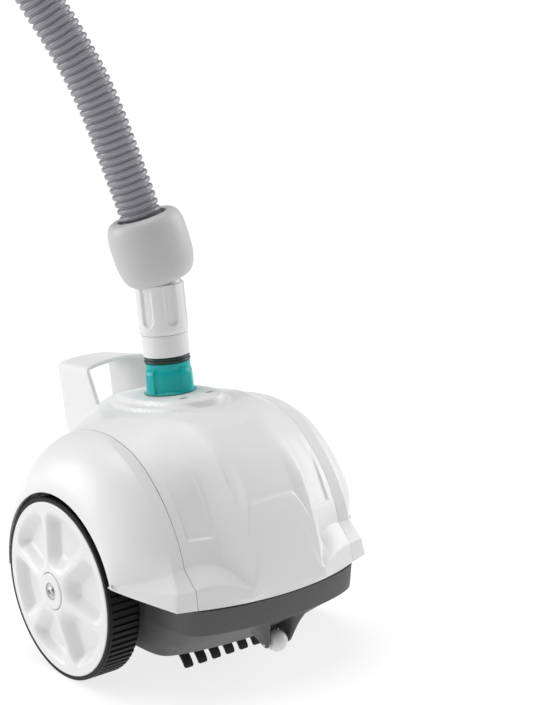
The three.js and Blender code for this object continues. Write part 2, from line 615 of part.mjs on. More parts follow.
// ---------------------------------------------------------------- build
add('top_cover', makeTopCover(), whiteShell);
add('carry_handle', makeHandle(), whiteShell);
add('base_tray', makeBaseTray(), greyBase);
add('suction_plate', makeSuctionPlate(), greyBase);
add('front_comb', makeComb(), blackRubber);
add('rear_comb', makeComb().rotateZ(Math.PI).translate(0, 2 * AXLE_Y, 0), blackRubber);
add('guide_roller', makeGuideRoller(), gearPlastic);
add('roller_pin', makeRollerPin(), steel);
add('turbine_housing', makeTurbineHousing(), greyBase);
add('turbine_rotor', makeTurbineRotor(), gearPlastic);
add('turbine_shaft', makeTurbineShaft(), steel);
BASE_SCREWS.forEach((place, i) => add(`base_screw_${i + 1}`, makeBaseScrew(place), steel));

for (const [side, sign] of SIDES) {
  add(`${side}_side_cover`, onSide(makeSideCover(), sign), whiteShell);
  add(`${side}_tyre`, onSide(makeTyre(), sign), blackRubber);
  add(`${side}_wheel_disc`, onSide(makeWheelDisc(), sign), whiteShell);
  add(`${side}_hub_cap`, onSide(makeHubCap(), sign), whiteShell);
  add(`${side}_wheel_washer`, onSide(makeWheelWasher(), sign), steel);
  add(`${side}_wheel_screw`, onSide(makeWheelScrew(), sign), steel);
  add(`${side}_stub_axle`, onSide(makeStubAxle(), sign), steel);
  add(`${side}_wheel_gear`, onSide(makeWheelGear(), sign), gearPlastic);
  add(`${side}_idler_gear`, onSide(makeIdlerGear(), sign), gearPlastic);
  add(`${side}_idler_pin`, onSide(makeIdlerPin(), sign), steel);
  add(`${side}_pinion`, onSide(makePinion(), sign), gearPlastic);
  add(`${side}_shaft_bush`, onSide(makeShaftBush(), sign), gearPlastic);
  add(`${side}_drive_carrier`, onSide(makeCarrier(), sign), greyBase);
}

add('outlet_tube', makeOutletTube(), whiteShell);
add('lock_collar', makeLockCollar(), tealPlastic);
add('o_ring', makeORing(), sealRubber);
add('swivel_sleeve', makeSwivelSleeve(), whiteShell);
add('hose_connector', makeConnector(), whiteShell);
add('float', makeFloat(), floatFoam);
add('hose', makeHose(), hoseGrey);
add('hose_cuff', makeHoseCuff(), hoseGrey);

export default assembly;
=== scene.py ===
# %% [markdown]
# # A suction pool cleaner
# This lesson dresses a packed mechanical model: two driven wheels, a domed cover in three
# mouldings, a dark base, and a ribbed hose with its float. The mechanical model is the frame.
# Every new piece is made in the frame's own metres, at the place the frame gives, so nothing
# has to be fitted afterwards.

# %% Load the frame
import json
import math

import bmesh
import bpy
from mathutils import Matrix, Vector


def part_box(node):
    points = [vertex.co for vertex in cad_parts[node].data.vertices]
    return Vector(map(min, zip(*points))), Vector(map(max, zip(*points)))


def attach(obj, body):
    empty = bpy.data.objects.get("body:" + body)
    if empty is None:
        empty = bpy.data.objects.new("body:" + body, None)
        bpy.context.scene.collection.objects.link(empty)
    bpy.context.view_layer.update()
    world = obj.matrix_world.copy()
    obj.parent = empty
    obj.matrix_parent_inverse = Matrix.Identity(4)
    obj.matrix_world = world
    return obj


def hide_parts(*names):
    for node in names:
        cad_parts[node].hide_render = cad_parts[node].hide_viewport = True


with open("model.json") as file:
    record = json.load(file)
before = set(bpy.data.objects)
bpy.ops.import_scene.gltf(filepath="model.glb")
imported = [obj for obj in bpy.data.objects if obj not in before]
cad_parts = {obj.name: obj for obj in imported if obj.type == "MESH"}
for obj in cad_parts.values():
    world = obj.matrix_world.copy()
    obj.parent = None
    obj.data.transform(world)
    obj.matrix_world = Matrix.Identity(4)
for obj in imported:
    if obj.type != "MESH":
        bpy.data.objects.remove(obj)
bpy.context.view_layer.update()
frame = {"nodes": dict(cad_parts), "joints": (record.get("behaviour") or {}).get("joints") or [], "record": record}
MM = 0.001
JOINTS = {joint["name"]: joint for joint in frame["joints"]}

# %% [markdown]
# ## Camera
# The view looks down a little at the left wheel and the nose. A long lens keeps the two
# wheels nearly the same size. The camera is placed by its three axes: right, up and back.

# %% Camera
LENS_PX = 2000.0
IMAGE_HEIGHT_PX = 705.0
CAMERA_AT = Vector((-1.1553, -1.7019, 0.8507))
CAMERA_RIGHT = Vector((0.7902, -0.6115, -0.0411))
CAMERA_UP = Vector((0.1841, 0.1729, 0.9676))
CAMERA_BACK = CAMERA_RIGHT.cross(CAMERA_UP)

camera_data = bpy.data.cameras.new("camera")
camera_data.sensor_width = 36.0
camera_data.lens = LENS_PX / IMAGE_HEIGHT_PX * camera_data.sensor_width
camera = bpy.data.objects.new("camera", camera_data)
axes = Matrix((CAMERA_RIGHT, CAMERA_UP, CAMERA_BACK)).transposed()
camera.matrix_world = Matrix.Translation(CAMERA_AT) @ axes.to_4x4()
bpy.context.collection.objects.link(camera)
bpy.context.scene.camera = camera

# %% [markdown]
# ## Helpers for pieces
# A piece is drawn in a bmesh, then becomes an object at the origin. It rides on a body, takes
# its finish from a slot of the record, and may stand for a node of the frame. Faces that meet
# at a sharp angle stay sharp and all others are shaded smooth.

# %% From bmesh to piece
SHARP = math.radians(32)
WELD = 1e-6
PIECES_BY_SLOT = {}


def to_mesh(name, bm):
    mesh = bpy.data.meshes.new(name)
    bm.to_mesh(mesh)
    bm.free()
    return mesh


def piece(name, bm, body, slot, *nodes, sharp=SHARP):
    bmesh.ops.remove_doubles(bm, verts=bm.verts, dist=WELD)
    mesh = to_mesh(name, bm)
    mesh.shade_smooth()
    mesh.set_sharp_from_angle(angle=sharp)
    obj = bpy.data.objects.new(name, mesh)
    bpy.context.collection.objects.link(obj)
    PIECES_BY_SLOT.setdefault(slot, []).append(obj)
    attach(obj, body)
    if nodes:
        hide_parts(*nodes)
    return obj


def outward(bm):
    bmesh.ops.remove_doubles(bm, verts=bm.verts, dist=WELD)
    bmesh.ops.recalc_face_normals(bm, faces=bm.faces)


# %% [markdown]
# Most small parts are turned: a profile of radius and height is drawn once and spun about the
# Z axis. A matrix then lays the turned piece on the wheel axle, the outlet or the hose.

# %% Turned pieces
def turned(profile, steps=64, closed=True):
    bm = bmesh.new()
    verts = [bm.verts.new((r * MM, 0.0, h * MM)) for r, h in profile]
    edges = [bm.edges.new(pair) for pair in zip(verts, verts[1:])]
    if closed and profile[0][0] > 0:
        edges.append(bm.edges.new((verts[-1], verts[0])))
    bmesh.ops.spin(bm, geom=verts + edges, cent=(0, 0, 0), axis=(0, 0, 1), dvec=(0, 0, 0),
                   angle=2 * math.pi, steps=steps, use_merge=True, use_duplicate=False)
    outward(bm)
    return bm


def arc(cx, cy, radius, start, end, count):
    """Points on a round stretch of a profile, by angle in degrees."""
    angles = [math.radians(start + (end - start) * i / count) for i in range(count + 1)]
    return [(cx + radius * math.cos(a), cy + radius * math.sin(a)) for a in angles]


def clamp(value):
    return min(max(value, 0.0), 1.0)


def smoothstep(low, high, value):
    t = clamp((value - low) / (high - low))
    return t * t * (3 - 2 * t)


def mix(a, b, t):
    return a + (b - a) * t


def soften(profile, radius=0.6, count=3):
    """Round each corner of a closed profile, as a mould does."""
    out = []
    total = len(profile)
    for i, point in enumerate(profile):
        p = Vector(point)
        before, after = Vector(profile[i - 1]) - p, Vector(profile[(i + 1) % total]) - p
        reach = min(radius, before.length * 0.4, after.length * 0.4)
        if p.x <= 0 or reach < 0.05:
            out.append(tuple(p))
            continue
        a, b = p + before.normalized() * reach, p + after.normalized() * reach
        for k in range(count + 1):
            t = k / count
            out.append(tuple((1 - t) ** 2 * a + 2 * t * (1 - t) * p + t * t * b))
    return out


def place(bm, matrix):
    bmesh.ops.transform(bm, matrix=matrix, verts=bm.verts)
    if matrix.determinant() < 0:
        bmesh.ops.reverse_faces(bm, faces=bm.faces)
    return bm


# %% Places on the frame
AXLE = Vector(JOINTS["left_wheel_spin"]["pos_m"])
AXLE_Y, AXLE_Z = AXLE.y, AXLE.z
DECK = Vector(JOINTS["hose_swivel"]["pos_m"])
OUTLET_AXIS = Vector(JOINTS["hose_swivel"]["axis"])
ROLLER = Vector(JOINTS["guide_roller_spin"]["pos_m"])
ON_X = Matrix.Rotation(math.pi / 2, 4, "Y")
ON_OUTLET = Matrix.Translation(DECK) @ OUTLET_AXIS.to_track_quat("Z", "Y").to_matrix().to_4x4()
SIDES = (("left", -1), ("right", 1))


def on_axle(side):
    """A turned piece on +Z goes onto the axle, pointing out to the given side."""
    return Matrix.Diagonal((side, 1, 1, 1)) @ Matrix.Translation((0, AXLE_Y, AXLE_Z)) @ ON_X


# %% [markdown]
# ## The hose
# Pool hose is a thin wall blown into rings. It is turned straight first, ring after ring, and
# then every vertex is carried onto the hose's route, which leaves the connector along the
# outlet and leans away to the left. The far end, held up from outside, ends in its cuff.

# %% The hose's route
HOSE_ROUTE_MM = [
    (0, 23.4, 400.7), (-0.6, 24.6, 414), (-2.6, 26, 428), (-5.6, 28, 443), (-9, 30.4, 458),
    (-12.4, 33.2, 474), (-16.6, 37, 494), (-22.6, 41.6, 519), (-29.4, 46.8, 547),
    (-36.8, 52.6, 577), (-45.6, 59.4, 607), (-56, 67, 636), (-67.4, 75.6, 664),
    (-79.8, 84.8, 692), (-92.4, 94, 720), (-101.6, 100.6, 740),
]
ROUTE = [Vector(p) * MM for p in HOSE_ROUTE_MM]


def smooth_route(points, per_span=12):
    """A Catmull-Rom curve through the points, close enough together to measure."""
    ends = [2 * points[0] - points[1]] + points + [2 * points[-1] - points[-2]]
    out = []
    for p0, p1, p2, p3 in zip(ends, ends[1:], ends[2:], ends[3:]):
        for k in range(per_span):
            t = k / per_span
            out.append(0.5 * (2 * p1 + (p2 - p0) * t + (2 * p0 - 5 * p1 + 4 * p2 - p3) * t * t
                              + (3 * p1 - p0 - 3 * p2 + p3) * t ** 3))
    return out + [points[-1]]


FINE_ROUTE = smooth_route(ROUTE)
LENGTHS = [0.0]
for a, b in zip(FINE_ROUTE, FINE_ROUTE[1:]):
    LENGTHS.append(LENGTHS[-1] + (b - a).length)
HOSE_LENGTH = LENGTHS[-1]
print("hose length:", round(HOSE_LENGTH, 4))


def route_frame(distance):
    """The place and the direction of the hose at a distance from its start."""
    d = min(max(distance, 0.0), HOSE_LENGTH)
    i = next(k for k in range(1, len(LENGTHS)) if LENGTHS[k] >= d)
    share = (d - LENGTHS[i - 1]) / (LENGTHS[i] - LENGTHS[i - 1])
    at = FINE_ROUTE[i - 1].lerp(FINE_ROUTE[i], share)
    low, high = FINE_ROUTE[max(i - 3, 0)], FINE_ROUTE[min(i + 2, len(FINE_ROUTE) - 1)]
    along = (high - low).normalized()
    turn = along.to_track_quat("Z", "Y").to_matrix().to_4x4()
    return Matrix.Translation(at + along * (distance - d)) @ turn


# %% The ribbed hose
HOSE_R = 22.5
HOSE_WALL = 1.4
RIB_PITCH = 7.9
RIB_DEPTH = 2.9


def make_hose():
    ribs = int(HOSE_LENGTH / MM / RIB_PITCH)
    pitch = HOSE_LENGTH / MM / ribs
    valley = HOSE_R - RIB_DEPTH
    rib = [(valley, 0.0), (valley, 0.1), (HOSE_R - 1.5, 0.18), (HOSE_R - 0.35, 0.28), (HOSE_R, 0.42),
           (HOSE_R, 0.62), (HOSE_R - 0.35, 0.76), (HOSE_R - 1.5, 0.86), (valley, 0.94)]
    outer = [(r, (i + h) * pitch) for i in range(ribs) for r, h in rib]
    outer.append((valley, ribs * pitch))
    inner = [(valley - HOSE_WALL, i * pitch) for i in range(ribs, -1, -1)]
    bm = turned(outer + inner, steps=48)
    for vert in bm.verts:
        turn = route_frame(vert.co.z)
        vert.co = turn @ Vector((vert.co.x, vert.co.y, 0.0))
    return piece("ribbed_hose", bm, "swivel", "hose_grey", "hose", sharp=math.radians(60))


hose = make_hose()

# %% [markdown]
# ## The float and the cuff
# The float is a blown barrel with full, rounded shoulders, so its profile is two arcs joined
# by a gentle bulge. It slides on the hose and hides the end of the connector.

# %% Float and cuff
FLOAT_AT = 0.037
FLOAT_HALF = 36.0
FLOAT_MOUTH_R, FLOAT_SWELL = 27.0, 15.2
FLOAT_STEPS = 44


def barrel(t):
    """Radius and height of the float's skin, t going from the bottom mouth to the top one."""
    angle = math.radians(-90 + 180 * t)
    c, s = math.cos(angle), math.sin(angle)
    power = 2 / 2.7
    radius = FLOAT_MOUTH_R + FLOAT_SWELL * math.copysign(abs(c) ** power, c)
    return radius + 1.6 * s, FLOAT_HALF * math.copysign(abs(s) ** power, s)


def make_float():
    skin = [barrel(i / FLOAT_STEPS) for i in range(FLOAT_STEPS + 1)]
    lip = [(26.2, FLOAT_HALF - 0.8), (25.8, FLOAT_HALF - 3), (25.8, -FLOAT_HALF + 6),
           (FLOAT_MOUTH_R, -FLOAT_HALF + 2)]
    bm = turned(skin + lip, steps=96)
    return piece("float_body", place(bm, route_frame(FLOAT_AT)), "swivel", "float_foam", "float",
                 sharp=math.radians(50))


def make_cuff():
    profile = [(19, 0.3), (24.5, 0.3), (25.2, 3), (26.5, 12), (26.5, 16), (25.6, 17.5), (25.6, 20),
               (26.5, 21.5), (26.5, 50), (25.8, 52), (20.6, 52), (19, 20)]
    bm = turned(soften(profile, 0.8), steps=72)
    return piece("cuff", place(bm, route_frame(HOSE_LENGTH)), "swivel", "hose_grey", "hose_cuff")


float_body = make_float()
cuff = make_cuff()

# %% [markdown]
# ## Outlet, collar and connector
# The teal collar locks the swivel on the outlet. It is a turned cup whose wall is pressed in
# all round but for four narrow lugs to grip, so after spinning the profile each vertex is
# moved in by how far it lies from the nearest lug.

# %% Collar
COLLAR_H = 33.0
COLLAR_R, NECK_R = 29.0, 24.2
LUGS = 4
LUG_STANDS_OUT = 3.3
COLLAR_TURN = math.radians(9.5)
LUG_HALF = math.radians(11.5)


def collar_press(angle, height):
    """How far the wall is pressed in, in millimetres: all round but at the lugs."""
    step = 2 * math.pi / LUGS
    from_lug = abs((angle - COLLAR_TURN + step / 2) % step - step / 2)
    edge = smoothstep(LUG_HALF - 0.015, LUG_HALF + 0.05, from_lug)
    hollow = 0.75 + 0.25 * smoothstep(LUG_HALF, step / 2, from_lug)
    wall = smoothstep(0.8, 2.4, height) * (1 - smoothstep(COLLAR_H - 4.5, COLLAR_H - 2.0, height))
    return LUG_STANDS_OUT * edge * hollow * wall


def make_collar():
    bore = 22.4
    outside = [(COLLAR_R - 0.4, 1.0), (COLLAR_R, 1.6), (COLLAR_R, 3.4)]
    outside += [(COLLAR_R - 0.3 * k / 12, 3.4 + 17.0 * k / 12) for k in range(1, 13)]
    outside += arc(19.7, 20.4, 9.0, 0, 58, 9)[1:]
    outside += [(NECK_R, COLLAR_H - 2.4), (NECK_R, COLLAR_H - 0.4), (NECK_R - 0.4, COLLAR_H)]
    bm = turned(outside + [(bore, COLLAR_H), (bore, 1.0)], steps=320)
    for vert in bm.verts:
        x, y, z = vert.co
        radius = math.hypot(x, y)
        if radius > (bore + 0.6) * MM:
            press = min(collar_press(math.atan2(y, x), z / MM), max(radius / MM - NECK_R, 0.0))
            scale = 1 - press * MM / radius
            vert.co.x, vert.co.y = x * scale, y * scale
    return piece("twist_collar", place(bm, ON_OUTLET), "collar", "teal_plastic", "lock_collar",
                 sharp=math.radians(40))


make_collar()

# %% Seal, sleeve and tube
RING_AT = COLLAR_H + 2.0


def make_seal():
    lower = arc(23.2, RING_AT, 1.75, -90, 70, 9)
    upper = arc(23.0, RING_AT + 3.2, 1.6, -60, 90, 9)
    profile = [(22.4, RING_AT - 1.75)] + lower + upper + [(22.4, RING_AT + 4.8)]
    return piece("seal_ring", place(turned(profile, steps=80), ON_OUTLET), "chassis", "seal_rubber",
                 "o_ring")


def make_tube():
    profile = soften([(19, -72), (22, -72), (22, COLLAR_H + 1), (19, COLLAR_H + 1)], 0.5)
    return piece("outlet_pipe", place(turned(profile), ON_OUTLET), "chassis", "white_shell",
                 "outlet_tube")


def make_sleeve():
    low, high = COLLAR_H + 7.2, COLLAR_H + 30.5
    profile = [(15.5, COLLAR_H - 30), (18.7, COLLAR_H - 30), (18.7, low), (24.4, low), (25, low + 0.8),
               (25, high), (15.5, high)]
    return piece("sleeve", place(turned(soften(profile, 0.4), steps=80), ON_OUTLET), "swivel",
                 "white_shell", "swivel_sleeve")


make_seal()
make_tube()
make_sleeve()

# %% [markdown]
# The connector's grip is a row of long flutes with round ends. Each flute is a smooth hollow,
# deepest in the middle, and a vertex knows from its angle and height whether it lies in one.

# %% Fluted connector
CONNECTOR_LOW = COLLAR_H + 30.8
CONNECTOR_HIGH = COLLAR_H + 84.0
CONNECTOR_R = 26.5
FLUTES = 6
FLUTE_DEPTH = 2.8


def flute_depth(angle, height, radius):
    phase = (angle * FLUTES / (2 * math.pi)) % 1.0 - 0.5
    across = phase * 2 * math.pi * radius / FLUTES
    start = CONNECTOR_LOW + 16.5
    below = max(start - height, 0.0)
    distance = math.hypot(across, below)
    return FLUTE_DEPTH * (1 - smoothstep(5.0, 7.6, distance))


def make_connector():
    low, high = CONNECTOR_LOW, CONNECTOR_HIGH
    outside = [(24.6, low), (25.4, low + 1.2), (26.2, low + 3.0), (CONNECTOR_R, low + 5.0)]
    outside += [(CONNECTOR_R, low + 5.0 + (high - low - 5.6) * k / 64) for k in range(1, 65)]
    outside += [(26.1, high), (24.4, high + 0.6), (22.4, high + 6.5)]
    bm = turned([(15.5, low)] + outside + [(15.5, high + 6.5)], steps=256)
    for vert in bm.verts:
        x, y, z = vert.co
        radius = math.hypot(x, y)
        if radius > 20 * MM:
            scale = 1 - flute_depth(math.atan2(y, x) + 0.2, z / MM, CONNECTOR_R) * MM / radius
            vert.co.x, vert.co.y = x * scale, y * scale
    return piece("fluted_connector", place(bm, ON_OUTLET), "swivel", "white_shell", "hose_connector",
                 sharp=math.radians(45))


make_connector()

# %% [markdown]
# ## The cover
# The cover is three mouldings that share one surface: a middle shell and a fender on each
# side. Its shape is drawn as side-view outlines at a few distances from the middle, each with
# the same number of points, and a smooth surface is spread between them. A grid is created
# flat, and each of its vertices is then carried onto that surface, so that the seams, the
# raised panel and the ledge above the bumper follow rows and columns of the grid.

# %% Outlines of the cover, from the front edge over the top to the rear edge
FRONT_Y = -185.0
COVER_BOTTOM = 109.0
SEAM_X, FENDER_X = 100.0, 155.0
PANEL_X = 44.0
MIDDLE_OUTLINE = [
    (FRONT_Y, COVER_BOTTOM), (-184.2, 122), (-181.5, 140), (-176.5, 162), (-170, 182), (-163.5, 198),
    (-152, 221), (-133, 245), (-104, 266), (-75, 280), (-49, 287.4), (-15, 284.5),
    (DECK.y / MM, DECK.z / MM), (45, 279), (75, 273), (101, 262.5), (122, 246), (139, 224),
    (151, 195), (158, 162), (161, 135), (162.5, COVER_BOTTOM),
]
SEAM_OUTLINE = [
    (-163, COVER_BOTTOM), (-162, 118), (-160.6, 129), (-150, 139), (-142, 147.5), (-139.5, 158),
    (-133.5, 174), (-118, 201), (-97, 225), (-74, 243), (-49, 254), (-20, 260), (10, 260),
    (36, 255.5), (58, 248), (77, 235.5), (93, 218), (105.5, 196), (115, 172), (121, 148),
    (124.5, 127), (126, COVER_BOTTOM),
]
ROWS = len(SEAM_OUTLINE)
LEDGE_ROWS = 4
LEDGE_CREASES = (2, 4)
ARCH_R = 103.5
ARCH_FRONT = 163.0


def arch_point(j):
    """The wheel arch's edge. The ledge rows all start at its front corner."""
    step = max(j - LEDGE_ROWS, 0) / (ROWS - 1 - LEDGE_ROWS)
    angle = math.radians(ARCH_FRONT * (1 - step))
    fan = min(j - LEDGE_ROWS, 0)
    return (AXLE_Y / MM + ARCH_R * math.cos(angle) + fan * 0.3,
            AXLE_Z / MM + ARCH_R * math.sin(angle) + fan * 0.8)


ARCH_OUTLINE = [arch_point(j) for j in range(ROWS)]


def along_outline(outline, v, creases=()):
    """A point on an outline, v counting its points, smooth except where a point is a crease."""
    i = min(int(v), len(outline) - 2)
    t = v - i
    p1, p2 = outline[i], outline[i + 1]
    p0 = p1 if i in creases else outline[max(i - 1, 0)]
    p3 = p2 if i + 1 in creases else outline[min(i + 2, len(outline) - 1)]
    return tuple(0.5 * (2 * b + (c - a) * t + (2 * a - 5 * b + 4 * c - d) * t * t
                        + (3 * b - a - 3 * c + d) * t ** 3) for a, b, c, d in zip(p0, p1, p2, p3))


# %% [markdown]
# Across the cover the surface is made of facets. The nose panel is nearly flat, drops steeply
# at each side and runs on to the seam. Beyond the seam a flat band leads to the fender's
# crease. Higher up every facet melts into one smooth dome. The ledge above the bumper narrows
# to a tip at the panel, so its rows crowd together there.

# %% The plain surface
SHOULDER_X = 62.0
FENDER_CREASE_X = 114.0
LEDGE_TIP_X = 47.0


def ledge_row(x, row):
    """Where a row of the seam's outline lies on the middle outline, x from the middle."""
    away = abs(x)
    tip = smoothstep(26, LEDGE_TIP_X, away)
    spread_out = clamp((away - LEDGE_TIP_X) / (SEAM_X - LEDGE_TIP_X))
    lip = mix(mix(2.0, 0.96, tip), 2.0, spread_out)
    back = mix(mix(4.0, 1.15, tip), 4.0, spread_out)
    if row <= 2:
        return row / 2 * lip
    if row <= 4:
        return lip + (row - 2) / 2 * (back - lip)
    return row - (4 - back) * (1 - smoothstep(4, 8, row))


def share_to_seam(away, row):
    """0 on the middle outline, 1 on the seam's."""
    level_x = PANEL_X * 0.55
    dome = max((away - level_x) / (SEAM_X - level_x), 0.0) ** mix(1.7, 1.15, smoothstep(11, 14, row))
    if away < PANEL_X:
        facet = 0.05 * (away / PANEL_X) ** 2
    elif away < SHOULDER_X:
        facet = mix(0.05, 0.62, (away - PANEL_X) / (SHOULDER_X - PANEL_X))
    else:
        facet = mix(0.62, 1.0, (away - SHOULDER_X) / (SEAM_X - SHOULDER_X))
    straight = mix(0.05, 1.0, max(away - LEDGE_TIP_X, 0.0) / (SEAM_X - LEDGE_TIP_X))
    lower = straight if away > LEDGE_TIP_X else 0.05 * (away / LEDGE_TIP_X) ** 2
    lower = mix((away / SEAM_X) ** 2.1, lower, smoothstep(0.1, 0.9, row))
    faceted = mix(1.0, 0.3, smoothstep(6.3, 7.8, row)) * (1 - smoothstep(8.0, 10.0, row))
    return mix(mix(dome, facet, faceted), lower, 1 - smoothstep(2.0, 4.0, row))


def share_to_arch(away, row):
    """0 at the seam, 1 at the edge of the wheel arch."""
    fade = smoothstep(9.0, 13.0, row)
    crease = mix(mix(122.0, FENDER_CREASE_X, smoothstep(0, 4.5, row)), SEAM_X, fade)
    at_crease = mix(mix(0.08, 0.012, smoothstep(1.0, 4.5, row)), 0.0, fade)
    if away <= crease:
        return at_crease * (away - SEAM_X) / max(crease - SEAM_X, 0.1)
    s = min((away - crease) / (FENDER_X - crease), 1.0)
    straight = mix(mix(0.9, 0.3, smoothstep(3.5, 6.5, row)), 0.0, fade)
    power = mix(2.0, 1.8, fade)
    return at_crease + (1 - at_crease) * mix(1 - max(1 - s ** power, 0.0) ** (1 / power), s, straight)


def cover_point(x, row):
    """The plain surface at a distance x from the middle, at a row of the outlines."""
    away = abs(x)
    seam = along_outline(SEAM_OUTLINE, row, LEDGE_CREASES)
    if away <= SEAM_X:
        middle = along_outline(MIDDLE_OUTLINE, ledge_row(x, row))
        t = share_to_seam(away, row)
        y, z = mix(middle[0], seam[0], t), mix(middle[1], seam[1], t)
    else:
        arch = along_outline(ARCH_OUTLINE, row)
        t = share_to_arch(away, row)
        y, z = mix(seam[0], arch[0], t), mix(seam[1], arch[1], t)
    return Vector((x, y, z))


def cover_inward(x, v):
    """The direction into the cover at that place."""
    e = 0.05
    low, high = min(v + e, ROWS - 1.0), max(v - e, 0.0)
    down = cover_point(x, low) - cover_point(x, high)
    wide = cover_point(x + e, v) - cover_point(x - e, v)
    return down.cross(wide).normalized()


# %% [markdown]
# On that plain surface lie the features: the deck with its sharp edge, the sunken name field
# above a small shelf on the nose, and a shallow pocket beside each seam. Each one is a depth
# in millimetres at a place, so features simply add up.

# %% Features of the middle shell
DECK_HALF_X, DECK_FRONT, DECK_REAR = 40.0, -57.0, 88.0
FRONT_DROP, FLANK_DROPS, FLANK_STARTS = 7.5, (4.5, 3.5), (0, 11)
SHELF_DEPTH, SEAM_POCKET_DEPTH = 1.5, 2.2


def beyond_deck(x, y):
    """Distance outside the deck's oval, negative on the deck itself."""
    middle, half = (DECK_FRONT + DECK_REAR) / 2, (DECK_REAR - DECK_FRONT) / 2
    e = (abs(x / DECK_HALF_X) ** 2.4 + abs((y - middle) / half) ** 2.4) ** (1 / 2.4)
    return (e - 1) * mix(DECK_HALF_X, half, min(abs(y - middle) / half, 1.0))


def shell_depth(x, row, spot):
    away = abs(x)
    past = beyond_deck(x, spot.y)
    front = FRONT_DROP * clamp(past / 4) * (1 - clamp((past - 4) / 40))
    steps = sum(drop * clamp((past - start) / 3) for drop, start in zip(FLANK_DROPS, FLANK_STARTS))
    flank = steps * (1 - clamp((past - 14) / 30))
    skirt = mix(front, flank, smoothstep(-72, -50, spot.y))
    depth = skirt * smoothstep(180, 225, spot.z) * smoothstep(90, 60, spot.y)
    shelf = smoothstep(5.2, 5.42, row + 0.1 * (x / PANEL_X) ** 2) * (1 - smoothstep(5.7, 7.6, row))
    depth += SHELF_DEPTH * shelf * (1 - smoothstep(PANEL_X * 0.62, PANEL_X - 1.0, away))
    if spot.y < 0:
        across = smoothstep(65, 68, away) * (1 - smoothstep(89.5, 92, away))
        upright = smoothstep(172.5, 175.5, spot.z) * (1 - smoothstep(200, 250, spot.z))
        depth += SEAM_POCKET_DEPTH * across * upright
    return depth


def shell_point(x, row):
    spot = cover_point(x, row)
    return (spot + cover_inward(x, row) * shell_depth(x, row, spot)) * MM


# %% A curved wall from a flat grid
COVER_WALL = 3.0


def thicken(bm, wall):
    """Face a sheet outwards and give it an inner side, a copy of each vertex straight behind it."""
    top = max(bm.faces, key=lambda f: f.calc_center_median().z)
    top.normal_update()
    if top.normal.z < 0:
        bmesh.ops.reverse_faces(bm, faces=bm.faces)
    bm.normal_update()
    doubled = bmesh.ops.extrude_face_region(bm, geom=bm.faces[:], use_keep_orig=True)
    for vert in doubled["geom"]:
        if isinstance(vert, bmesh.types.BMVert):
            vert.co -= vert.normal * wall * MM
    bmesh.ops.recalc_face_normals(bm, faces=bm.faces)
    return bm


def curved_wall(columns, rows, point, wall=COVER_WALL):
    """A grid carried onto a surface, then doubled inwards and closed round its edge."""
    bm = bmesh.new()
    bmesh.ops.create_grid(bm, x_segments=len(columns) - 1, y_segments=len(rows) - 1, size=1.0)
    for vert in bm.verts:
        i = round((vert.co.x + 1) / 2 * (len(columns) - 1))
        j = round((vert.co.y + 1) / 2 * (len(rows) - 1))
        vert.co = point(columns[i], rows[j])
    return thicken(bm, wall)


def spread(low, high, count):
    return [low + (high - low) * i / count for i in range(count + 1)]


SEAM_GAP = 0.45


def make_middle_shell():
    half = spread(0, PANEL_X, 24)[1:] + spread(PANEL_X, SHOULDER_X, 14)[1:]
    half += spread(SHOULDER_X, SEAM_X - SEAM_GAP / 2, 28)[1:]
    columns = [-x for x in reversed(half)] + [0.0] + half
    rows = spread(0, 2, 10) + spread(2, 4, 12)[1:] + spread(4, 7, 54)[1:] + spread(7, 12, 90)[1:]
    rows += spread(12, ROWS - 1, 60)[1:]
    bm = curved_wall(columns, rows, shell_point)
    return piece("middle_shell", bm, "chassis", "white_shell", "top_cover", sharp=math.radians(24))


def make_fender(name, side):
    near = spread(SEAM_X + SEAM_GAP / 2, FENDER_CREASE_X, 10)
    far = [mix(FENDER_CREASE_X, FENDER_X, math.sin(math.pi / 2 * i / 40)) for i in range(1, 41)]
    columns = [side * x for x in near + far]
    if side < 0:
        columns.reverse()
    rows = spread(0, 2, 10) + spread(2, 4, 12)[1:] + spread(4, 10, 70)[1:]
    rows += spread(10, ROWS - 1, 66)[1:]
    bm = curved_wall(columns, rows, lambda x, v: cover_point(x, v) * MM)
    return piece(f"{name}_fender", bm, "chassis", "white_shell", f"{name}_side_cover",
                 sharp=math.radians(24))


middle_shell = make_middle_shell()
for name, side in SIDES:
    make_fender(name, side)

# %% [markdown]
# Holes are cut last, by a boolean with a plain cutter: the round outlet hole and two slots in
# the deck. The result is applied and the cutters go. A dark plug then fills each slot: painted
# shade, standing for the shadow inside the hollow slot.

# %% Holes in the deck
SLOT_X, SLOT_Y, SLOT_Z = 17.0, -35.2, 286.0
SLOT_R = 5.6
SLOT_OVAL = Matrix.Diagonal((1, 0.45, 1, 1))


def apply_modifiers(obj):
    mesh = bpy.data.meshes.new_from_object(obj.evaluated_get(bpy.context.evaluated_depsgraph_get()))
    obj.modifiers.clear()
    obj.data = mesh


def combine(obj, others, operation="DIFFERENCE"):
    """Cut the other meshes out of a piece, or make them one with it."""
    for number, bm in enumerate(others):
        cutter = bpy.data.objects.new(f"cutter_{number}", to_mesh("cutter", bm))
        bpy.context.collection.objects.link(cutter)
        modifier = obj.modifiers.new("cut", "BOOLEAN")
        modifier.object = cutter
        modifier.operation = operation
        apply_modifiers(obj)
        bpy.data.objects.remove(cutter)


def box_bm(low, high):
    bm = bmesh.new()
    bmesh.ops.create_cube(bm, size=1.0)
    low, high = Vector(low) * MM, Vector(high) * MM
    for vert in bm.verts:
        vert.co = Vector(mix(l, h, c + 0.5) for l, h, c in zip(low, high, vert.co))
    return bm


def slot_seat(side, sunk=0.0):
    return Matrix.Translation(Vector((side * SLOT_X, SLOT_Y, SLOT_Z - sunk)) * MM)


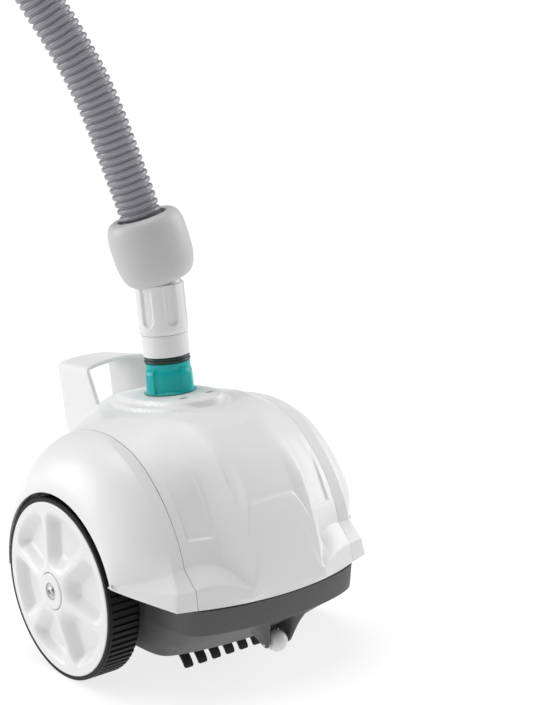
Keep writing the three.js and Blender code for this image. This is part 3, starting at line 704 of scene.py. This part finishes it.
def make_slot_shade_plug(name, side):
    # The plug is painted shade: a dark disc sunk just under the deck, standing for the shadow inside the slot.
    shade_plug_r = SLOT_R - 0.1
    shade_plug = turned(soften([(0, -4), (shade_plug_r, -4), (shade_plug_r, 0), (0, 0)], 0.4), steps=40, closed=False)
    seat = slot_seat(side, 0.1) @ Matrix.Rotation(math.radians(-5), 4, "X") @ SLOT_OVAL
    return piece(f"{name}_deck_slot_shade", place(shade_plug, seat), "chassis", "grey_base")


outlet_hole = place(turned([(0, -15), (24, -15), (24, 15), (0, 15)], closed=False), ON_OUTLET)
slot_profile = [(0, -14), (SLOT_R, -14), (SLOT_R, 14), (0, 14)]
slots = [place(turned(slot_profile, closed=False), slot_seat(side) @ SLOT_OVAL) for _, side in SIDES]
combine(middle_shell, [outlet_hole] + slots)
for name, side in SIDES:
    make_slot_shade_plug(name, side)
middle_shell.data.set_sharp_from_angle(angle=math.radians(40))
print("middle shell faces:", len(middle_shell.data.polygons))

# %% [markdown]
# ## The carry handle
# The handle is a wide strap bent into an arch. A grid is laid along the arch, with rounded
# corners, and given its thickness; its edges are then softened. The legs run on into the cover.

# %% Handle
HANDLE_X, HANDLE_CORNER = 35.0, 5.0
HANDLE_LEG = 118.0
HANDLE_WALL = 4.6
HANDLE_TOP_FRONT, HANDLE_TOP_REAR = 296.6, 288.2


def handle_path(t):
    """The middle of the strap in the front view: up one leg, across, down the other."""
    side = math.copysign(1, t - 0.5)
    flat, quarter = HANDLE_X - HANDLE_CORNER, HANDLE_CORNER * math.pi / 2
    from_middle = abs(2 * t - 1) * (HANDLE_LEG + quarter + flat)
    if from_middle <= flat:
        return side * from_middle, 0.0
    if from_middle <= flat + quarter:
        turn = (from_middle - flat) / HANDLE_CORNER
        return side * (flat + HANDLE_CORNER * math.sin(turn)), HANDLE_CORNER * (math.cos(turn) - 1)
    return side * HANDLE_X, flat + quarter - from_middle - HANDLE_CORNER


def handle_point(t, w):
    """w runs from the front edge to the rear edge. Below the splay the front edge turns back."""
    x, below = handle_path(t)
    front = 115.0 + 0.5 * below if below > -52 else 89.0 - 0.75 * (below + 52)
    rear = 185.0 + 0.135 * below + 0.8 * min(below + 72.0, 0.0)
    crown = mix(5.0, 3.0, w) * (1 - (x / HANDLE_X) ** 2)
    height = mix(HANDLE_TOP_FRONT, HANDLE_TOP_REAR, w) + below + crown
    return Vector((x * mix(1.2, 1.0, w), mix(front, rear, w), height)) * MM


def soften_rim(bm, size, segments):
    """Round every edge where two faces meet steeply."""
    rim = [e for e in bm.edges if len(e.link_faces) == 2 and e.calc_face_angle(0) > math.radians(60)]
    bmesh.ops.bevel(bm, geom=rim, offset=size * MM, affect="EDGES", segments=segments, profile=0.5,
                    material=-1)


def make_handle():
    bm = curved_wall(spread(0, 1, 130), spread(0, 1, 16), handle_point, HANDLE_WALL)
    soften_rim(bm, 1.1, 3)
    return piece("handle", bm, "chassis", "white_shell", "carry_handle", sharp=math.radians(50))


make_handle()

# %% [markdown]
# ## The base
# The base is a deep tub with a bowed nose. Its side view changes from a straight wall to an
# undercut, so it is built as level rings of the same plan, bridged one to the next. Each ring
# is a circle whose vertices are pushed out to the plan's outline.

# %% Plan of the base
BASE_RINGS = [
    # height, front y, rear y, half width
    (38.0, -112, 103, 103), (38.6, -114.5, 105, 104), (41.0, -118, 108, 105.5), (60.0, -147, 130, 109),
    (78.2, -176.6, 148, 111.2), (79.8, -178.8, 149.5, 111.5), (81.5, -179.6, 150.3, 111.6),
    (107.2, -184.0, 156, 112), (107.7, -182.3, 154.4, 110.4), (108.5, -182.2, 154.2, 110.2),
]
RING_STEPS = 192
TUB_WALL = 3.0
BOW = 22.0
PLAN_POWER = 7.0


def plan_point(angle, front, rear, half_x):
    """Where a ray at this angle from the middle meets a rounded rectangle with bowed ends."""
    mid_y, half_y = (front + rear) / 2, (rear - front) / 2
    c, s = math.cos(angle), math.sin(angle)
    reach = (abs(c / half_x) ** PLAN_POWER + abs(s / half_y) ** PLAN_POWER) ** (-1 / PLAN_POWER)
    x, y = reach * c, reach * s
    bow = BOW * (x / half_x) ** 2 * abs(s)
    return Vector((x, mid_y + y - math.copysign(bow, y) * (abs(y) / half_y) ** 6, 0.0))


def ring_loop(bm, height, front, rear, half_x):
    made = bmesh.ops.create_circle(bm, cap_ends=False, segments=RING_STEPS, radius=1.0)
    for vert in made["verts"]:
        spot = plan_point(math.atan2(vert.co.y, vert.co.x), front, rear, half_x)
        vert.co = Vector((spot.x, spot.y, height)) * MM
    return made["verts"]


def loft(bm, rings):
    """Bridge each ring to the next, then close both ends."""
    loops = [[e for e in bm.edges if set(e.verts) <= ring] for ring in (set(r) for r in rings)]
    for low, high in zip(loops, loops[1:]):
        bmesh.ops.bridge_loops(bm, edges=low + high)
    for ring in (rings[0], rings[-1]):
        end = {e for v in ring for e in v.link_edges if e.other_vert(v) in ring}
        bmesh.ops.contextual_create(bm, geom=list(end))


def make_tub():
    bm = bmesh.new()
    outside = [ring_loop(bm, *ring) for ring in BASE_RINGS]
    inside = [ring_loop(bm, height + (TUB_WALL if height < 60 else 0.02), front + TUB_WALL,
                        rear - TUB_WALL, half_x - TUB_WALL)
              for height, front, rear, half_x in reversed(BASE_RINGS) if height > 40]
    loft(bm, outside + inside)
    outward(bm)
    return bm


# %% [markdown]
# Two prongs grow out of the nose and hold the guide roller. Each one starts as a wide foot in
# the undercut and narrows to a blunt tip, so it is a short stack of rings that shrink. A
# boolean union makes them, and the web behind the roller, one moulding with the tub.

# %% Prongs
PRONG_LEVELS = [
    # height, front y, rear y, inner x, outer x
    (84, -174, -118, 9, 46), (78, -173, -120, 10, 40), (72, -170, -122, 11, 34),
    (66, -168, -126, 12, 28), (60, -166.5, -132, 12.6, 23), (54, -165, -139, 12.6, 19.5),
    (49, -163.5, -146, 12.6, 17.2), (45, -161.5, -151.5, 12.7, 15.9), (43, -159.5, -155, 13.2, 15),
]
AXLE_SLOT = 12.0


def make_prong(bm, side):
    rings = []
    for z, front, rear, inner, outer in PRONG_LEVELS:
        made = bmesh.ops.create_circle(bm, cap_ends=False, segments=32, radius=1.0)
        for vert in made["verts"]:
            across, along = ((math.copysign(abs(w) ** 0.6, w) + 1) / 2 for w in vert.co[:2])
            vert.co = Vector((side * mix(inner, outer, across), mix(front, rear, along), z)) * MM
        rings.append(made["verts"])
    loft(bm, rings)


def make_base():
    base = piece("bumper_tub", make_tub(), "chassis", "grey_base", "base_tray", sharp=math.radians(24))
    prongs = bmesh.new()
    for side in (-1, 1):
        make_prong(prongs, side)
    outward(prongs)
    web = box_bm((-13, -143, 50), (13, -118, 82))
    combine(base, [prongs, web], "UNION")
    axle_y, axle_z = AXLE_Y / MM, AXLE_Z / MM
    axle_slots = [box_bm((side * 112 - 14, axle_y - AXLE_SLOT, axle_z - AXLE_SLOT),
                         (side * 112 + 14, axle_y + AXLE_SLOT, 125)) for side in (-1, 1)]
    mouth = box_bm((-56, -20, 25), (56, 42, 50))
    combine(base, axle_slots + [mouth])
    base.data.set_sharp_from_angle(angle=math.radians(24))


make_base()

# %% Guide roller and its pin
def make_roller():
    profile = [(2.3, -9.5), (4.6, -9.5)] + arc(0, 0, 11.5, -56, 56, 22) + [(4.6, 9.5), (2.3, 9.5)]
    turn = Matrix.Translation(ROLLER) @ ON_X
    piece("roller_ball", place(turned(profile, steps=56), turn), "roller", "roller_plastic",
          "guide_roller", sharp=math.radians(50))
    pin = soften([(0, -16.6), (2, -16.6), (2, 16.6), (0, 16.6)], 0.4)
    piece("roller_axle", place(turned(pin, steps=24, closed=False), turn), "chassis", "steel",
          "roller_pin")


make_roller()

# %% [markdown]
# ## Rubber combs
# The fingers of a comb are soft blades that splay out to the floor. A finger is a box divided
# along its length, bent by moving each level, and rounded at its free end.

# %% Combs
NOZZLE_FACE = 46.0
FINGERS = 6
FINGER_PITCH = 18.2
FINGER_TOP, FINGER_TIP = 36.0, 0.6
FINGER_HALF, FINGER_WALL = 6.2, 3.6


def finger_bend(z):
    """How far out a finger stands at a height, in millimetres from the nozzle's face."""
    return 3.0 + 24.0 * smoothstep(-14.0, 27.0, 27.0 - z) ** 1.5


def make_comb(name, direction, node):
    bm = bmesh.new()
    centre_y = AXLE_Y / MM
    for k in range(FINGERS):
        middle = (k - (FINGERS - 1) / 2) * FINGER_PITCH
        made = bmesh.ops.create_grid(bm, x_segments=6, y_segments=16, size=1.0)
        for vert in made["verts"]:
            across, down = vert.co.x, (1 - vert.co.y) / 2
            z = mix(FINGER_TOP, FINGER_TIP, down)
            tip = smoothstep(0.93, 1.0, down) ** 2
            half = FINGER_HALF * (1 - 0.14 * down) - 0.9 * tip
            y = centre_y + direction * (NOZZLE_FACE + finger_bend(z))
            vert.co = Vector((middle + across * half, y, z)) * MM
    bmesh.ops.recalc_face_normals(bm, faces=bm.faces)
    bmesh.ops.solidify(bm, geom=bm.faces[:], thickness=FINGER_WALL * MM)
    outward(bm)
    soften_rim(bm, 0.7, 2)
    strip = box_bm((-53, 0, 26), (53, 4.2, 37))
    face = centre_y + direction * (NOZZLE_FACE + 0.3)
    turn = Matrix.Translation((0, face * MM, 0)) @ Matrix.Diagonal((1, direction, 1, 1))
    place(strip, turn)
    bmesh.ops.bevel(strip, geom=strip.edges[:], offset=0.8 * MM, affect="EDGES", segments=2, profile=0.5,
                    material=-1)
    mesh = to_mesh("strip", strip)
    bm.from_mesh(mesh)
    bpy.data.meshes.remove(mesh)
    return piece(name, bm, "chassis", "comb_rubber", node, sharp=math.radians(40))


make_comb("nose_comb", -1, "front_comb")
make_comb("tail_comb", 1, "rear_comb")

# %% Nozzle plate
def make_nozzle():
    bm = box_bm((-62, AXLE_Y / MM - 46, 24), (62, AXLE_Y / MM + 46, 37.7))
    upright = [e for e in bm.edges if abs(e.verts[0].co.z - e.verts[1].co.z) > 5 * MM]
    bmesh.ops.bevel(bm, geom=upright, offset=5 * MM, affect="EDGES", segments=6, profile=0.5,
                    material=-1)
    nozzle = piece("nozzle_frame", bm, "chassis", "grey_base", "suction_plate")
    mouth = box_bm((-50, AXLE_Y / MM - 26, 0), (50, AXLE_Y / MM + 26, 60))
    combine(nozzle, [mouth])
    soft = nozzle.modifiers.new("soft edges", "BEVEL")
    soft.width = 0.9 * MM
    soft.segments = 3
    soft.limit_method = "ANGLE"
    apply_modifiers(nozzle)
    nozzle.data.set_sharp_from_angle(angle=math.radians(40))


make_nozzle()

# %% [markdown]
# ## Wheels
# The disc is dished outwards and carries six pockets with sloping walls between its spokes.
# A radial line is spun into a fine polar grid, and each vertex of the face sinks by the depth
# of the pocket that it lies in. The tyre is spun the same way, with its ribs in the radius.

# %% Wheel disc
DISC_R, BACK_X, RIM_X, HUB_X = 94.0, 119.5, 157.5, 165.5
HUB_R = 19.5
POCKETS = 6
POCKET_DEPTH = 11.0
POCKET_CORNER = 14.0
POCKET_SLOPE = 13.0
POCKET_TURN = math.radians(13)


def face_height(r):
    """The disc's outer face: nearly flat at the rim, dished outwards to the hub."""
    return mix(HUB_X, RIM_X, smoothstep(10, 96, r) ** 0.9)


def pocket_depth(angle, r):
    phase = (angle / (2 * math.pi) * POCKETS) % 1.0 - 0.5
    sector = phase * 2 * math.pi / POCKETS
    spoke = mix(1.8, 3.2, smoothstep(20, 84, r))
    to_spoke = r * math.sin(math.pi / POCKETS - abs(sector)) - spoke
    to_rim = 85.0 - r
    if to_spoke < POCKET_CORNER and to_rim < POCKET_CORNER:
        inside = POCKET_CORNER - math.hypot(POCKET_CORNER - to_spoke, POCKET_CORNER - to_rim)
    else:
        inside = min(to_spoke, to_rim)
    slope = clamp(inside / POCKET_SLOPE)
    return POCKET_DEPTH * mix(slope, smoothstep(0, 1, slope), 0.4) * smoothstep(22, 42, r)


def make_disc(name, side):
    face = [(r, face_height(r)) for r in spread(HUB_R + 0.8, 91.5, 58)]
    edge = arc(DISC_R - 1.6, RIM_X - 1.6, 1.6, 80, 0, 4)
    back = [(DISC_R, BACK_X), (90, BACK_X), (90, 146), (84, 148), (23, 148), (14, 122), (8.3, 122),
            (8.3, 159), (HUB_R + 0.8, 159)]
    bm = turned(face + edge + back, steps=300)
    for vert in bm.verts:
        x, y, z = vert.co / MM
        r = math.hypot(x, y)
        if z > 153 and 22 < r < 90:
            vert.co.z -= pocket_depth(math.atan2(y, x) + POCKET_TURN, r) * MM
    return piece(f"{name}_disc", place(bm, on_axle(side)), f"{name}_wheel", "white_wheel",
                 f"{name}_wheel_disc", sharp=math.radians(50))


# %% Tyre
TYRE_R = AXLE_Z / MM
RIBS = 76
STEPS_PER_RIB = 8
RIB_HEIGHT = 2.3


def make_tyre(name, side):
    inner, low, high = DISC_R + 0.3, BACK_X, 157.0
    profile = [(inner, low), (TYRE_R - 1.0, low), (TYRE_R - 0.2, low + 0.8), (TYRE_R, low + 2.0)]
    profile += [(TYRE_R, z) for z in spread(low + 8, high - 6, 4)]
    profile += [(TYRE_R, high - inset) for inset in (4.7, 3.4, 2.0)]
    profile += [(TYRE_R - 0.2, high - 0.8), (TYRE_R - 1.0, high), (inner, high)]
    bm = turned(profile, steps=RIBS * STEPS_PER_RIB)
    for vert in bm.verts:
        x, y, z = vert.co / MM
        r = math.hypot(x, y)
        if r < inner + 1.2:
            continue
        phase = (math.atan2(y, x) / (2 * math.pi) * RIBS) % 1.0
        hollow = smoothstep(0.5, 0.66, phase) * (1 - smoothstep(0.84, 1.0, phase))
        side_band = smoothstep(low - 2, low + 1.6, z) * (1 - smoothstep(high - 6, high - 3.5, z))
        scale = 1 - RIB_HEIGHT * hollow * side_band / r
        vert.co.x, vert.co.y = vert.co.x * scale, vert.co.y * scale
    return piece(f"{name}_tread", place(bm, on_axle(side)), f"{name}_wheel", "tyre_rubber", f"{name}_tyre",
                 sharp=math.radians(38))


# %% [markdown]
# The hub is closed by a thin round cap with a washer and a cross-head screw in its middle. The
# cross is cut into the screw's dome with two small boxes.

# %% Hub caps and screws
def cross_screw(name, body, node, matrix, head_r, head_h, shank):
    dome = [(head_r, 0.0)] + [(head_r * math.cos(a), 0.35 * head_h + 0.65 * head_h * math.sin(a))
                              for a in (math.radians(9 * k) for k in range(11))]
    profile = [(0, -shank), (head_r * 0.5, -shank), (head_r * 0.5, 0)] + dome
    profile[-1] = (0, head_h)
    screw = piece(name, place(turned(profile, steps=40, closed=False), matrix), body, "steel", node)
    slots = []
    for turn in (0, math.pi / 2):
        cutter = box_bm((-head_r * 0.62, -head_r * 0.13, head_h * 0.35),
                        (head_r * 0.62, head_r * 0.13, head_h + 2))
        slots.append(place(cutter, matrix @ Matrix.Rotation(turn + 0.3, 4, "Z")))
    combine(screw, slots)
    screw.data.set_sharp_from_angle(angle=math.radians(30))
    return screw


def make_hub(name, side):
    body = f"{name}_wheel"
    cap = [(3, 159.3), (HUB_R, 159.3), (HUB_R, HUB_X), (HUB_R - 0.9, HUB_X + 0.7), (9.6, HUB_X + 0.9),
           (9.1, HUB_X + 0.5), (9, HUB_X - 1.2), (3, HUB_X - 1.2)]
    piece(f"{name}_cap", place(turned(soften(cap, 0.25), steps=72), on_axle(side)), body,
          "white_wheel", f"{name}_hub_cap")
    washer_x = HUB_X - 0.1
    washer = soften([(2.6, HUB_X - 1), (8.6, HUB_X - 1), (8.6, washer_x), (2.6, washer_x)], 0.2)
    piece(f"{name}_washer", place(turned(washer, steps=48), on_axle(side)), body, "steel",
          f"{name}_wheel_washer")
    seat = Matrix.Translation((0, 0, washer_x * MM))
    cross_screw(f"{name}_hub_screw", body, f"{name}_wheel_screw", on_axle(side) @ seat, 5.5, 2.6, 12.0)


for name, side in SIDES:
    make_disc(name, side)
    make_tyre(name, side)
    make_hub(name, side)

for number in range(1, 5):
    low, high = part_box(f"base_screw_{number}")
    under = Matrix.Translation(((low[0] + high[0]) / 2, (low[1] + high[1]) / 2, low[2] + 2.5 * MM))
    cross_screw(f"floor_screw_{number}", "chassis", f"base_screw_{number}",
                under @ Matrix.Rotation(math.pi, 4, "X"), 3.9, 2.4, 15.0)

# %% [markdown]
# ## Finishes
# Every finish is made of noise at the scale the real surface has. Three effects are shared, so
# each is a node group: the fine grain of a mould, a slow drift of tone, and handling scuffs.

# %% Shared effects
def new_group(name, inputs, outputs):
    tree = bpy.data.node_groups.new(name, "ShaderNodeTree")
    for label, kind, value in inputs:
        socket = tree.interface.new_socket(name=label, in_out="INPUT", socket_type=kind)
        socket.default_value = value
    for label, kind in outputs:
        tree.interface.new_socket(name=label, in_out="OUTPUT", socket_type=kind)
    return tree, tree.nodes.new("NodeGroupInput"), tree.nodes.new("NodeGroupOutput")


def noise_node(tree, scale, detail):
    node = tree.nodes.new("ShaderNodeTexNoise")
    node.inputs["Scale"].default_value = scale
    node.inputs["Detail"].default_value = detail
    return node


def link(tree, source, output, target, label):
    tree.links.new(source.outputs[output], target.inputs[label])


def make_grain():
    tree, inside, outside = new_group("mould_grain", [("Scale", "NodeSocketFloat", 900.0)],
                                      [("Height", "NodeSocketFloat")])
    coords = tree.nodes.new("ShaderNodeTexCoord")
    fine = noise_node(tree, 900.0, 3.0)
    link(tree, coords, "Object", fine, "Vector")
    link(tree, inside, "Scale", fine, "Scale")
    link(tree, fine, "Fac", outside, "Height")
    return tree


def make_tone():
    tree, inside, outside = new_group(
        "slow_tone", [("Light", "NodeSocketColor", (1, 1, 1, 1)), ("Dark", "NodeSocketColor", (0, 0, 0, 1)),
                      ("Scale", "NodeSocketFloat", 8.0)], [("Color", "NodeSocketColor")])
    coords = tree.nodes.new("ShaderNodeTexCoord")
    drift = noise_node(tree, 8.0, 3.0)
    blend = tree.nodes.new("ShaderNodeMix")
    blend.data_type = "RGBA"
    link(tree, coords, "Object", drift, "Vector")
    link(tree, inside, "Scale", drift, "Scale")
    link(tree, drift, "Fac", blend, "Factor")
    link(tree, inside, "Light", blend, "A")
    link(tree, inside, "Dark", blend, "B")
    link(tree, blend, "Result", outside, "Color")
    return tree


def make_scuffs():
    tree, inside, outside = new_group(
        "scuffs", [("Base", "NodeSocketFloat", 0.4), ("Spread", "NodeSocketFloat", 0.1)],
        [("Roughness", "NodeSocketFloat")])
    coords = tree.nodes.new("ShaderNodeTexCoord")
    streak = noise_node(tree, 35.0, 5.0)
    scaled = tree.nodes.new("ShaderNodeMath")
    scaled.operation = "MULTIPLY_ADD"
    link(tree, coords, "Object", streak, "Vector")
    link(tree, streak, "Fac", scaled, 0)
    link(tree, inside, "Spread", scaled, 1)
    link(tree, inside, "Base", scaled, 2)
    link(tree, scaled, "Value", outside, "Roughness")
    return tree


GRAIN, TONE, SCUFFS = make_grain(), make_tone(), make_scuffs()

# %% [markdown]
# A finish joins the groups to one Principled shader. Light and dark are the two ends of its
# slow drift of tone, grain is the size of the mould texture, and coat is the clear gloss.

# %% One function for every moulded finish
ROUGH_SPREAD = 0.1
GRAIN_HEIGHT = 0.0004


def group_node(tree, group, **values):
    node = tree.nodes.new("ShaderNodeGroup")
    node.node_tree = group
    for label, value in values.items():
        node.inputs[label].default_value = value
    return node


def finish(name, light, dark, rough, grain=900.0, bump=0.05, tone=8.0, metal=0.0, coat=0.0,
           coat_rough=0.1, specular=0.5):
    material = bpy.data.materials.new(name)
    material.use_nodes = True
    tree = material.node_tree
    shader = tree.nodes["Principled BSDF"]
    shader.inputs["Metallic"].default_value = metal
    shader.inputs["Coat Weight"].default_value = coat
    shader.inputs["Coat Roughness"].default_value = coat_rough
    shader.inputs["Specular IOR Level"].default_value = specular
    tones = group_node(tree, TONE, Light=(*light, 1), Dark=(*dark, 1), Scale=tone)
    wear = group_node(tree, SCUFFS, Base=rough - ROUGH_SPREAD / 2, Spread=ROUGH_SPREAD)
    texture = group_node(tree, GRAIN, Scale=grain)
    relief = tree.nodes.new("ShaderNodeBump")
    relief.inputs["Strength"].default_value = bump
    relief.inputs["Distance"].default_value = GRAIN_HEIGHT
    link(tree, tones, "Color", shader, "Base Color")
    link(tree, wear, "Roughness", shader, "Roughness")
    link(tree, texture, "Height", relief, "Height")
    link(tree, relief, "Normal", shader, "Normal")
    return material


def grey(value, warm=0.0):
    return (value * (1 + warm), value, value * (1 - warm))


FINISHES = {
    "white_shell": finish("white_shell", grey(0.81), grey(0.79), 0.38, bump=0.06, coat=0.12,
                          coat_rough=0.25),
    "white_wheel": finish("white_wheel", grey(0.80), grey(0.76), 0.36, bump=0.05, coat=0.15,
                          coat_rough=0.2),
    "grey_base": finish("grey_base", (0.080, 0.076, 0.078), (0.068, 0.064, 0.066), 0.55, grain=1400.0,
                        bump=0.25),
    "tyre_rubber": finish("tyre_rubber", grey(0.008), grey(0.005), 0.5, bump=0.3, grain=1100.0,
                          specular=0.22),
    "comb_rubber": finish("comb_rubber", grey(0.024, 0.05), grey(0.016, 0.05), 0.6, bump=0.25,
                          specular=0.35),
    "teal_plastic": finish("teal_plastic", (0.0, 0.44, 0.43), (0.0, 0.41, 0.40), 0.3, bump=0.03,
                           coat=0.12, coat_rough=0.08, specular=0.25),
    "seal_rubber": finish("seal_rubber", (0.004, 0.034, 0.03), (0.003, 0.024, 0.021), 0.35, bump=0.1),
    "float_foam": finish("float_foam", grey(0.56), grey(0.53), 0.45, bump=0.12, grain=700.0),
    "hose_grey": finish("hose_grey", (0.30, 0.295, 0.32), (0.26, 0.255, 0.28), 0.34, bump=0.05,
                        coat=0.2, coat_rough=0.2),
    "roller_plastic": finish("roller_plastic", grey(0.76), grey(0.72), 0.35, bump=0.05),
    "gear_plastic": finish("gear_plastic", (0.80, 0.79, 0.73), (0.74, 0.73, 0.67), 0.45, bump=0.08),
    "steel": finish("steel", grey(0.62), grey(0.5), 0.28, metal=1.0, bump=0.08, grain=1600.0),
}


def dress(obj, slot):
    obj.data.materials.clear()
    obj.data.materials.append(FINISHES[slot])


slots_of_nodes = {part["node"]: part["material_slot"] for part in frame["record"]["subparts"]}
for node_name, obj in frame["nodes"].items():
    dress(obj, slots_of_nodes[node_name])
for slot, objects in PIECES_BY_SLOT.items():
    for obj in objects:
        dress(obj, slot)
print("pieces:", sum(len(v) for v in PIECES_BY_SLOT.values()))

# %% [markdown]
# ## Studio
# A pale floor glows like a light table under a pale surround. Three wide lamps, above and at
# both sides, leave the faces that look forward a little darker than the tops and the flanks.

# %% Floor
floor_bm = bmesh.new()
bmesh.ops.create_grid(floor_bm, x_segments=8, y_segments=8, size=40.0)
floor_mesh = to_mesh("floor", floor_bm)
floor = bpy.data.objects.new("floor", floor_mesh)
bpy.context.collection.objects.link(floor)
floor.location.z = -0.0002
floor_finish = finish("studio_floor", grey(0.26), grey(0.25), 0.9, bump=0.0, tone=0.5, specular=0.0)
glow = floor_finish.node_tree.nodes["Principled BSDF"].inputs
glow["Emission Color"].default_value = (1, 1, 1, 1)
glow["Emission Strength"].default_value = 0.8
floor_mesh.materials.append(floor_finish)

# %% Light
scene = bpy.context.scene
scene.view_settings.view_transform = "Standard"
world = bpy.data.worlds.new("studio")
world.use_nodes = True
world.node_tree.nodes["Background"].inputs["Color"].default_value = (1, 1, 1, 1)
world.node_tree.nodes["Background"].inputs["Strength"].default_value = 0.3
scene.world = world


def sun(name, towards, strength, softness):
    """A lamp so far away that it lights the whole floor alike; softness is its width in degrees."""
    data = bpy.data.lights.new(name, "SUN")
    data.energy = strength
    data.angle = math.radians(softness)
    lamp = bpy.data.objects.new(name, data)
    lamp.rotation_euler = Vector(towards).to_track_quat("-Z", "Y").to_euler()
    bpy.context.collection.objects.link(lamp)


sun("top", (0.1, -0.15, -1.0), 1.7, 45)
sun("left_side", (1.0, -1.0, -0.4), 1.4, 36)
sun("right_side", (-1.0, 0.15, -0.35), 1.3, 40)
